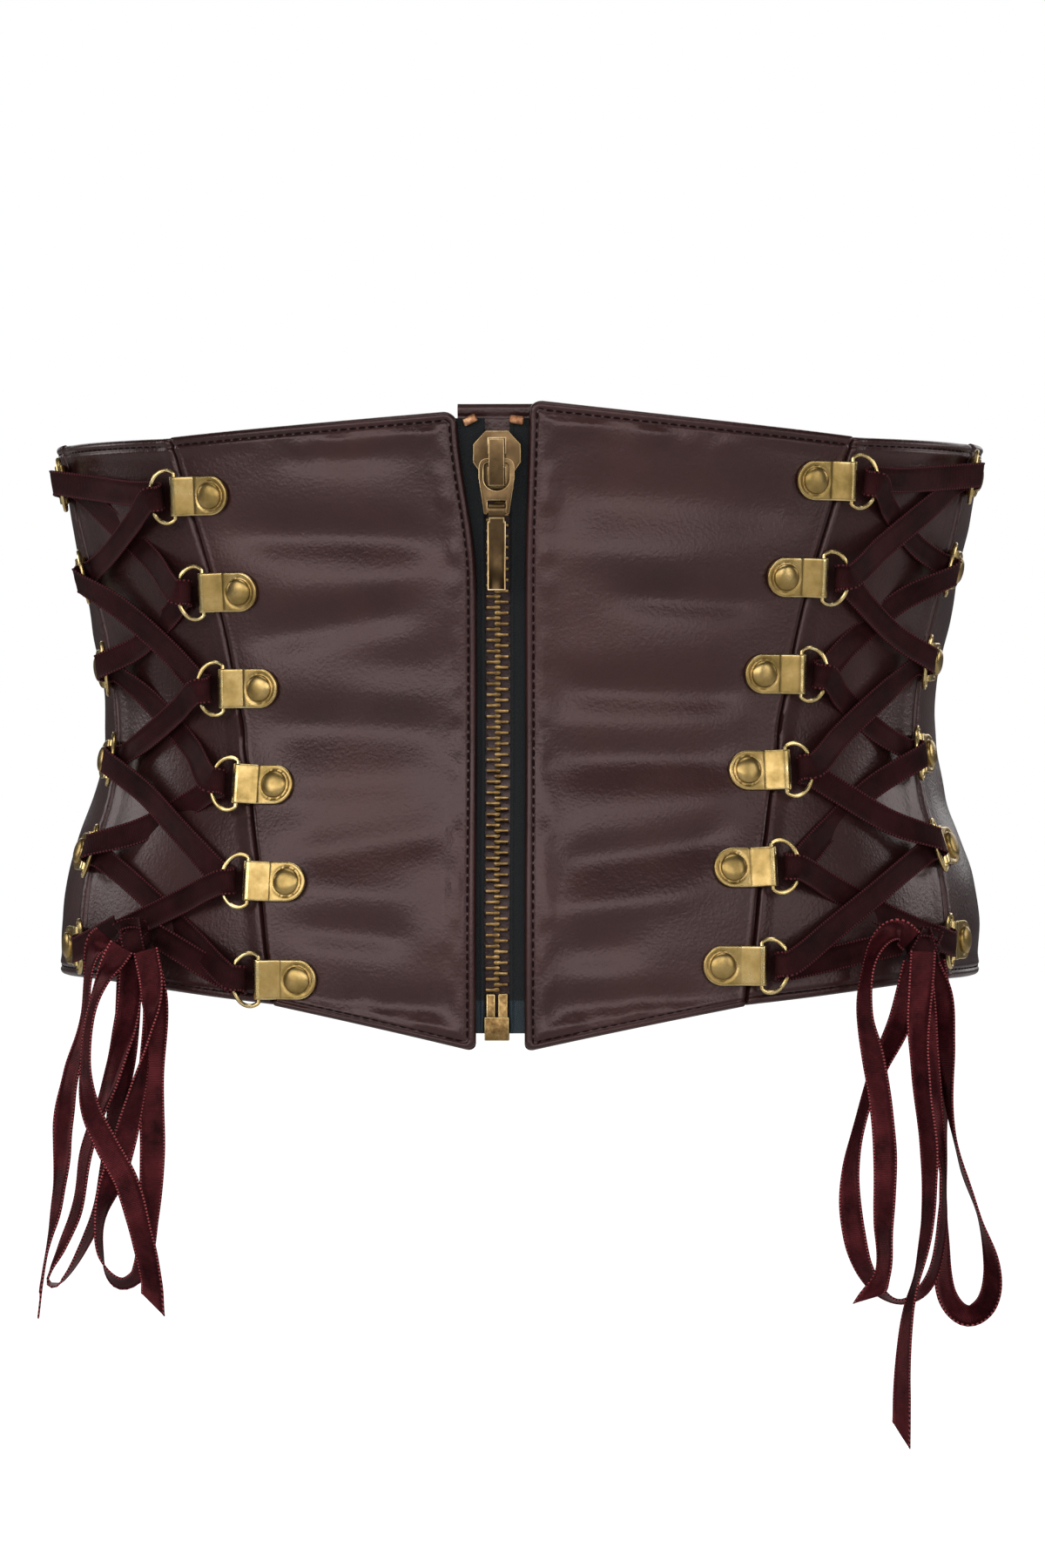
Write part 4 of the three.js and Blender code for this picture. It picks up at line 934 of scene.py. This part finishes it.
# The plate of a ring set lies along x, its rivet at 0, and the wire's D runs through the fold at its end
def tabTop(x, y):
    work = ringWork
    apart = math.hypot(x, y)
    top = mix(work["plate"], work["base"] + 2 * work["foldRadius"], smooth(x, *work["foldRise"]))
    for value, (middle, wide, deep) in ((x, work["crease"]), (apart, work["rivetSeat"])):
        top -= deep * bell(value, middle, wide)
    edge = work["tabHalf"] - (apart if x < 0 else abs(y))
    return top - work["bevelDeep"] * (1 - quarterRound(min(max(edge, 0) / work["bevelReach"], 1)))


def tabShape():
    work = ringWork
    half, reach, radius, base = work["tabHalf"], work["tabReach"], work["foldRadius"], work["base"]
    shares = [-1, -0.985, -0.96, -0.93] + [k / 12 for k in range(-10, 11)] + [0.93, 0.96, 0.985, 1]
    rows = [-half * math.cos(math.pi / 2 * k / 15) for k in range(1, 15)]
    rows += [reach * k / 34 for k in range(35)]
    points = []
    for x in rows:
        across = math.sqrt(max(half * half - min(x, 0) ** 2, 0))
        points += [Vector((x, across * s, tabTop(x, across * s))) for s in shares]
        points += [Vector((x, across, base)), Vector((x, -across, base))]
    for k in range(1, 11):
        angle = math.pi / 2 - math.pi * k / 10.5
        x, z = reach + radius * math.cos(angle), base + radius + radius * math.sin(angle)
        points += [Vector((x, half * s * 0.995, z)) for s in shares]
        points += [Vector((reach + 0.00002 * k, y, base + 0.00001)) for y in (half, -half)]
    ring = len(shares) + 2
    hoops = len(points) // ring
    faces = [(a, d, c, b) for a, b, c, d in hoopFaces(ring, hoops)]
    wearAndGlint = []
    for k in range(1, hoops):
        # the tab's edges take the bright brass as wear; its fold band takes it as a painted highlight
        foldGlint = len(rows) - 3 < k < len(rows) + 4
        wearAndGlint += [int(foldGlint or s < 3 or len(shares) - 5 < s < len(shares)) for s in range(ring)]
    faces += [tuple(range(ring)), tuple(range(len(points) - ring, len(points)))[::-1]]
    return points, faces, wearAndGlint + [0, 0]


def rivetShape():
    profile = ringWork["rivet"]
    count = 40
    turns = [2 * math.pi * k / count for k in range(count)]
    points = [Vector((r * math.cos(turn), r * math.sin(turn), z)) for r, z in profile for turn in turns]
    faces = hoopFaces(count, len(profile))
    top = len(points)
    for k in range(count):
        after = (k + 1) % count
        faces += [(top - count + k, top - count + after, top), (after, k, top + 1)]
    points += [Vector((0, 0, ringWork["rivetTop"])), Vector((0, 0, profile[0][1]))]
    return points, faces, [0] * len(faces)


def wireShape():
    work = ringWork
    widest = work["depth"] - work["belly"]
    opening = math.acos(-work["belly"] / widest)
    count, around = 44, 10
    centres = []
    for k in range(count + 1):
        angle = opening * (2 * k / count - 1)
        reach = work["belly"] + widest * math.cos(angle)
        centres.append(Vector((work["tabReach"] + reach, work["halfHeight"] * math.sin(angle),
                               work["base"] + work["foldRadius"] + work["lift"] * reach / work["depth"])))
    centres += [centres[-1].lerp(centres[0], share) for share in (0.25, 0.5, 0.75)]
    points = []
    for k, centre in enumerate(centres):
        along = (centres[(k + 1) % len(centres)] - centres[k - 1]).normalized()
        aside = along.cross(Vector((0, 0, 1))).normalized()
        over = aside.cross(along)
        for s in range(around):
            angle = 2 * math.pi * s / around
            points.append(centre + (aside * math.cos(angle) + over * math.sin(angle)) * work["wireRadius"])
    faces = hoopFaces(around, len(centres), closed=True)
    # the whole wire takes the bright brass as a painted highlight
    return points, faces, [1] * len(faces)


def makeRings():
    shapes = [(points, facedOut(points, faces), wearAndGlint) for points, faces, wearAndGlint
              in (tabShape(), rivetShape(), wireShape())]
    points, faces, wearAndGlint = joined(shapes)
    pattern = meshFrom("ringSet", points, faces, [ringBrass, rubbedAndGlintBrass], 32)
    for polygon, index in zip(pattern.polygons, wearAndGlint):
        polygon.material_index = index
    for name, side in sides.items():
        for column in ("front", "rear"):
            for row in range(ringWork["rows"]):
                place = ringPlace(column, side, row)
                basis = Matrix((place["along"], place["up"], place["out"])).transposed().to_4x4()
                mesh = pattern.copy()
                mesh.transform(Matrix.Translation(place["rivet"]) @ basis)
                node = f"ring_{name}_{column}_{row + 1}"
                newPiece(f"{node}_brass", mesh, node)
    bpy.data.meshes.remove(pattern)


makeRings()
print("ring sets made")


# Repeats by Geometry Nodes: a unit stands on every point, turned by the point's own angles
def repeatTree():
    tree = bpy.data.node_groups.new("repeatOnPoints", "GeometryNodeTree")
    sockets = {"Points": "NodeSocketGeometry", "Unit": "NodeSocketObject", "Finish": "NodeSocketMaterial"}
    for name, kind in sockets.items():
        tree.interface.new_socket(name, in_out="INPUT", socket_type=kind)
    tree.interface.new_socket("Made", in_out="OUTPUT", socket_type="NodeSocketGeometry")
    given = addNode(tree, "NodeGroupInput")
    unit = addNode(tree, "GeometryNodeObjectInfo", inputs={"Object": given.outputs["Unit"]})
    angles = addNode(tree, "GeometryNodeInputNamedAttribute",
                     {"data_type": "FLOAT_VECTOR"}, {"Name": "angles"})
    turn = addNode(tree, "FunctionNodeEulerToRotation", inputs={"Euler": angles.outputs["Attribute"]})
    each = addNode(tree, "GeometryNodeInstanceOnPoints", inputs={
        "Points": given.outputs["Points"], "Instance": unit.outputs["Geometry"],
        "Rotation": turn.outputs["Rotation"]})
    real = addNode(tree, "GeometryNodeRealizeInstances", inputs={"Geometry": each.outputs["Instances"]})
    finished = addNode(tree, "GeometryNodeSetMaterial", inputs={
        "Geometry": real.outputs["Geometry"], "Material": given.outputs["Finish"]})
    addNode(tree, "NodeGroupOutput", inputs={"Made": finished.outputs["Geometry"]})
    return tree


repeatOnPoints = repeatTree()


def repeated(name, unitMesh, places, turns, material, node=None):
    carrierMesh = bpy.data.meshes.new(f"{name}Points")
    carrierMesh.from_pydata([tuple(place) for place in places], [], [])
    angles = carrierMesh.attributes.new("angles", "FLOAT_VECTOR", "POINT")
    for datum, turn in zip(angles.data, turns):
        datum.vector = turn.to_euler()
    carrier, unit = linked(f"{name}Points", carrierMesh), linked(f"{name}Unit", unitMesh)
    modifier = carrier.modifiers.new("repeat", "NODES")
    modifier.node_group = repeatOnPoints
    sockets = repeatOnPoints.interface.items_tree
    given = {item.name: item.identifier for item in sockets if item.in_out == "INPUT"}
    modifier[given["Unit"]] = unit
    modifier[given["Finish"]] = material
    mesh = bpy.data.meshes.new_from_object(carrier.evaluated_get(bpy.context.evaluated_depsgraph_get()))
    mesh.name = name
    for thing in (carrier, unit):
        bpy.data.objects.remove(thing)
    newPiece(name, mesh, node)


# How small metal parts are cleaned, rounded and shaded
edgeWork = {"segments": 2, "profile": 0.6, "clamp_overlap": True, "affect": "EDGES"}
metalWork = {"weld": 0.000001, "flatDegrees": 2, "sharpDegrees": 38, "smoothDegrees": 35,
             "wallThick": 0.00012, "wallDeep": 0.0003}


def addBox(bm, size, width, middle):
    box = bmesh.new()
    bmesh.ops.create_cube(box, size=1)
    bmesh.ops.scale(box, vec=size, verts=box.verts)
    bmesh.ops.translate(box, vec=middle, verts=box.verts)
    bmesh.ops.bevel(box, geom=box.edges[:], offset=width, **edgeWork)
    mesh = smoothShaded(meshOf(box, "box"), metalWork["smoothDegrees"])
    bm.from_mesh(mesh)
    bpy.data.meshes.remove(mesh)


zipWork = {
    "pitch": 0.00295, "high": 0.0008, "deep": 0.0029, "reach": 0.0008, "chainHalf": 0.0033,
    "top": 0.0755, "bottom": -0.068, "first": 0.00075, "teethFront": -0.00125, "inset": 0.0003,
    "bevel": 0.00026, "headLong": 0.0014, "headBevel": 0.0003, "headAt": (0.0009, 0.0002),
    "tapes": {"from": 0.0034, "to": 0.0166, "low": -0.079, "high": 0.087, "thick": 0.0008, "out": -0.0023},
    # the guard's grid across and up: length, step, fine reach and fine step
    "guard": {"from": -0.0111, "to": 0.019, "low": -0.079, "high": 0.091, "thick": 0.0016,
              "grid": ((0.03, 0.0012, 0.003, 0.0004), (0.17, 0.0015, 0.005, 0.0004))},
}


def makeTeeth():
    work = zipWork
    middle = work["teethFront"] - work["deep"] / 2
    for name, side in sides.items():
        places, turns = [], []
        z = work["bottom"] + work["first"] + (work["pitch"] / 2 if side > 0 else 0)
        while z < work["top"]:
            lean = math.atan2(zipFace(z - 0.002) - zipFace(z + 0.002), 0.004)
            places.append(Vector((form["zipMiddle"], zipFace(z) - middle, z)))
            turns.append(Matrix.Rotation(lean, 3, "X"))
            z += work["pitch"]
        body = work["chainHalf"] - work["inset"]
        long = body + work["reach"]
        bm = bmesh.new()
        addBox(bm, (long, work["deep"], work["high"]), work["bevel"], (side * (body - long / 2), 0, 0))
        addBox(bm, (work["headLong"], work["deep"] * 0.8, work["high"] * 1.5), work["headBevel"],
               (-side * (work["reach"] - work["headAt"][0]), work["headAt"][1], 0))
        node = f"zip_teeth_{name}"
        repeated(f"{node}_brass", meshOf(bm, "tooth"), places, turns, toothBrass, node)


def stripPoint(strip, side, across, up, layer, outAt):
    z = mix(strip["low"], strip["high"], up)
    x = form["zipMiddle"] + side * mix(strip["from"], strip["to"], across)
    return skin(turnAtX(x, z), z, outAt(across, z) - layer * strip["thick"])


def tapeOut(across, z):
    waves = 0.00008 * noise.noise(Vector((across * 5, z * 90, 2.0)))
    return zipWork["tapes"]["out"] + 0.0005 * bell(across, 0.045, 0.035) + waves


def makeTapes():
    finish = {"material": wovenTape, "ending": "woven", "slot": "zip_tape"}
    acrossShares = [k / 60 for k in range(13)] + [0.2 + 0.8 * k / 12 for k in range(1, 13)]
    upShares = [k / 120 for k in range(121)]
    for name, side in sides.items():
        addWall(f"zip_tape_{name}", finish, acrossShares, upShares,
                lambda a, u, layer: stripPoint(zipWork["tapes"], side, a, u, layer, tapeOut), 50)


def guardOut(across, z):
    toTop = zipWork["guard"]["high"] - z
    out = mix(-0.00555, -0.0034, smooth(across, 0.62, 0.8)) - 0.0003 * bell(toTop, 0.0034, 0.0006)
    wave = 0.0002 * noise.noise(Vector((across * 2, z * 60, 9.0)))
    return out + wave - 0.0004 * (1 - smooth(toTop, 0, 0.0012))


def makeGuard():
    strip = zipWork["guard"]
    addWall("zip_guard", leatherFinish, *(spread(*row) for row in strip["grid"]),
            lambda a, u, layer: stripPoint(strip, 1, a, u, layer, guardOut), 50)


# Small hardware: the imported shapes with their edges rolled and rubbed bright
darkMetal, paleMetal = (sliderBrass, sliderEdge), (toothBrass, rubbedAndGlintBrass)
stopMetal = (stopCopper, stopCopper)
hardware = {
    "zip_slider": {"finish": darkMetal, "roll": 0.00045, "body": "belt", "slot": "dark_brass"},
    "puller_link": {"finish": darkMetal, "roll": 0.0003, "body": "link", "slot": "dark_brass"},
    "puller_tab": {"finish": darkMetal, "roll": 0.00025, "sunk": 0.0004, "body": "puller",
                   "slot": "dark_brass"},
    "top_stop_left": {"finish": stopMetal, "roll": 0.0005, "body": "belt", "slot": "zip_copper"},
    "top_stop_right": {"finish": stopMetal, "roll": 0.0005, "body": "belt", "slot": "zip_copper"},
    "retainer_box": {"finish": paleMetal, "roll": 0.00035, "body": "belt", "slot": "zip_brass"},
    "insertion_pin": {"finish": paleMetal, "roll": 0.00035, "body": "belt", "slot": "zip_brass"},
}


def makeHardware():
    flat, sharpest = math.radians(metalWork["flatDegrees"]), math.radians(metalWork["sharpDegrees"])
    for node, work in hardware.items():
        bm = bmesh.new()
        bm.from_mesh(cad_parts[node].data)
        bmesh.ops.remove_doubles(bm, verts=bm.verts, dist=metalWork["weld"])
        bmesh.ops.dissolve_limit(bm, angle_limit=flat, verts=bm.verts, edges=bm.edges)
        for face in bm.faces:
            face.material_index = 0
        sharp = [e for e in bm.edges if e.is_manifold and e.calc_face_angle(0) > sharpest]
        bmesh.ops.bevel(bm, geom=sharp, offset=work["roll"], material=1, **edgeWork)
        if work.get("sunk"):
            face = max((f for f in bm.faces if f.normal.y < -0.9), key=lambda f: f.calc_area())
            for thick, depth in ((work["sunk"], 0), (metalWork["wallThick"], -metalWork["wallDeep"])):
                for made in bmesh.ops.inset_region(bm, faces=[face], thickness=thick, depth=depth)["faces"]:
                    made.material_index = 1
        mesh = smoothShaded(meshOf(bm, node), metalWork["smoothDegrees"])
        for material in work["finish"]:
            mesh.materials.append(material)
        newPiece(f"{node}_metal", mesh, node, work["body"])


makeTeeth()
makeTapes()
makeGuard()
makeHardware()
print("zip made")


# Topstitching: thread darkened as painted shade of its holes, sunk in the groove that runs inside the edges
def frontSpot(panel, s, z):
    return skin(mix(*frontSpan(panel, z), s / frontWide(panel, z)), z, 0.0002)


def frontStitchLine(panel):
    corner, inset, hemShare = panel["corner"], leatherWork["grooveAt"], panel["hemShare"]
    wide, lowWide, hemWide = (frontWide(panel, z) for z in (0.08, form["centreHem"], form["seamHem"]))
    top, hem, bend = panel["top"], form["centreHem"], corner - inset
    spots = []
    for k in range(60, 0, -1):
        s = mix(corner, wide - 0.0008, k / 60)
        spots.append((s, mix(top, form["sideTop"], min(s / wide, 1)) - inset))
    arc = [math.pi / 2 * k / 8 for k in range(9)]
    spots += [(corner - bend * math.sin(angle), top - corner + bend * math.cos(angle)) for angle in arc]
    spots += [(inset, mix(top - corner, hem + corner * hemShare, k / 60)) for k in range(1, 60)]
    spots += [(corner - bend * math.cos(angle), hem + hemShare * (corner - bend * math.sin(angle)))
              for angle in arc]
    for k in range(1, 61):
        s = mix(corner, hemWide - 0.0008, k / 60)
        spots.append((s, mix(hem, form["seamHem"], min(s / lowWide, 1)) + inset * 0.85))
    return [frontSpot(panel, s, z) for s, z in spots]


def bandStitchLines():
    lines = []
    inset = leatherWork["grooveAt"]
    for side in sides.values():
        for high in (True, False):
            line = []
            for share in [k / 40 for k in range(41)]:
                hem = mix(form["seamHem"], form["sideHem"], share)
                z = form["sideTop"] - inset if high else hem + inset
                turn = mix(seamTurn("front", side, z), seamTurn("rear", side, z), mix(0.02, 0.98, share))
                line.append(skin(turn, z, -sideWork["face"] + 0.0002))
            lines.append(line)
    for z in (form["sideTop"] - inset, form["sideHem"] + inset):
        start = seamTurn("rear", 1, z)
        turns = [mix(start, 2 * math.pi - start, mix(0.004, 0.996, k / 200)) for k in range(201)]
        lines.append([skin(turn, z, 0.0001) for turn in turns])
    return lines


def stitchesOn(line):
    places, turns = [], []
    travelled, due = 0.0, leatherWork["stitchPitch"] / 2
    for a, b in zip(line, line[1:]):
        long = (b - a).length
        while travelled + long > due:
            place = a.lerp(b, (due - travelled) / long)
            along = (b - a).normalized()
            out = surfaceFace(place)
            out = (out - along * out.dot(along)).normalized()
            places.append(place)
            turns.append(Matrix((along, out.cross(along), out)).transposed())
            due += leatherWork["stitchPitch"]
        travelled += long
    return places, turns


def makeStitches():
    lines = {f"front_{name}": [frontStitchLine(panel)] for name, panel in fronts.items()}
    lines["sides_and_back"] = bandStitchLines()
    size = (leatherWork["stitchLong"] / 2, leatherWork["stitchThick"] / 2, leatherWork["stitchThick"] / 2)
    for name, someLines in lines.items():
        places, turns = [], []
        for line in someLines:
            somePlaces, someTurns = stitchesOn(line)
            places += somePlaces
            turns += someTurns
        bm = bmesh.new()
        bmesh.ops.create_uvsphere(bm, u_segments=8, v_segments=5, radius=1)
        bmesh.ops.rotate(bm, verts=bm.verts, matrix=Matrix.Rotation(math.pi / 2, 3, "Y"))
        bmesh.ops.scale(bm, verts=bm.verts, vec=size)
        unit = meshOf(bm, "stitch")
        unit.shade_smooth()
        repeated(f"topstitch_{name}", unit, places, turns, threadWithHoleShade)


makeStitches()
print("topstitching made")


# A pale floor and sky that the camera sees bright, and that light the belt only faintly
studio = {"floorAt": -0.42, "floorReach": 9.0, "glow": 1.1, "bounce": 0.06, "sky": 1.0, "shade": 0.05}


def seenAs(tree, unseen, seen):
    atCamera = addNode(tree, "ShaderNodeLightPath").outputs["Is Camera Ray"]
    return mapped(tree, atCamera, target=(studio[unseen], studio[seen]))


def makeStudio():
    bm = bmesh.new()
    bmesh.ops.create_circle(bm, cap_ends=True, segments=96, radius=studio["floorReach"])
    bmesh.ops.translate(bm, verts=bm.verts, vec=(0, 0, studio["floorAt"]))
    mesh = meshOf(bm, "floor")
    material, tree, shader = newMaterial("paleFloor")
    setInputs(tree, shader, {
        "Base Color": colour("#d8d8d8"), "Roughness": 0.8, "Emission Color": colour("#ffffff"),
        "Emission Strength": seenAs(tree, "bounce", "glow")})
    mesh.materials.append(material)
    linked("floor", mesh)
    world = bpy.data.worlds.new("studio")
    bpy.context.scene.world = world
    world.use_nodes = True
    tree = world.node_tree
    tree.nodes.clear()
    sky = addNode(tree, "ShaderNodeBackground", inputs={
        "Color": colour("#ffffff"), "Strength": seenAs(tree, "shade", "sky")})
    addNode(tree, "ShaderNodeOutputWorld", inputs={"Surface": sky.outputs["Background"]})


softboxes = {
    "front": {"at": (-0.2, -2.2, 0.5), "wide": 3.4, "high": 1.15, "power": 31},
    "keyLeft": {"at": (-1.7, -1.6, 0.5), "wide": 0.5, "high": 1.2, "power": 6},
    "keyRight": {"at": (1.8, -1.5, 0.4), "wide": 0.5, "high": 1.2, "power": 5},
    "top": {"at": (0.0, -0.5, 1.9), "wide": 1.6, "high": 1.0, "power": 10},
    "rimLeft": {"at": (-1.8, 0.5, 0.5), "wide": 0.8, "high": 0.8, "power": 6},
    "rimRight": {"at": (1.8, 0.5, 0.5), "wide": 0.8, "high": 0.8, "power": 6},
    "back": {"at": (0.3, 2.3, 0.8), "wide": 3.0, "high": 1.2, "power": 18},
}


def makeLights():
    for name, box in softboxes.items():
        data = bpy.data.lights.new(name, "AREA")
        data.shape = "RECTANGLE"
        data.size, data.size_y = box["wide"], box["high"]
        data.energy = box["power"]
        lamp = linked(name, data)
        lamp.location = box["at"]
        lamp.rotation_euler = (-Vector(box["at"])).to_track_quat("-Z", "Y").to_euler()
        lamp.visible_camera = False


makeStudio()
makeLights()
bpy.context.scene.view_settings.view_transform = "Standard"
print("floor and lights made")
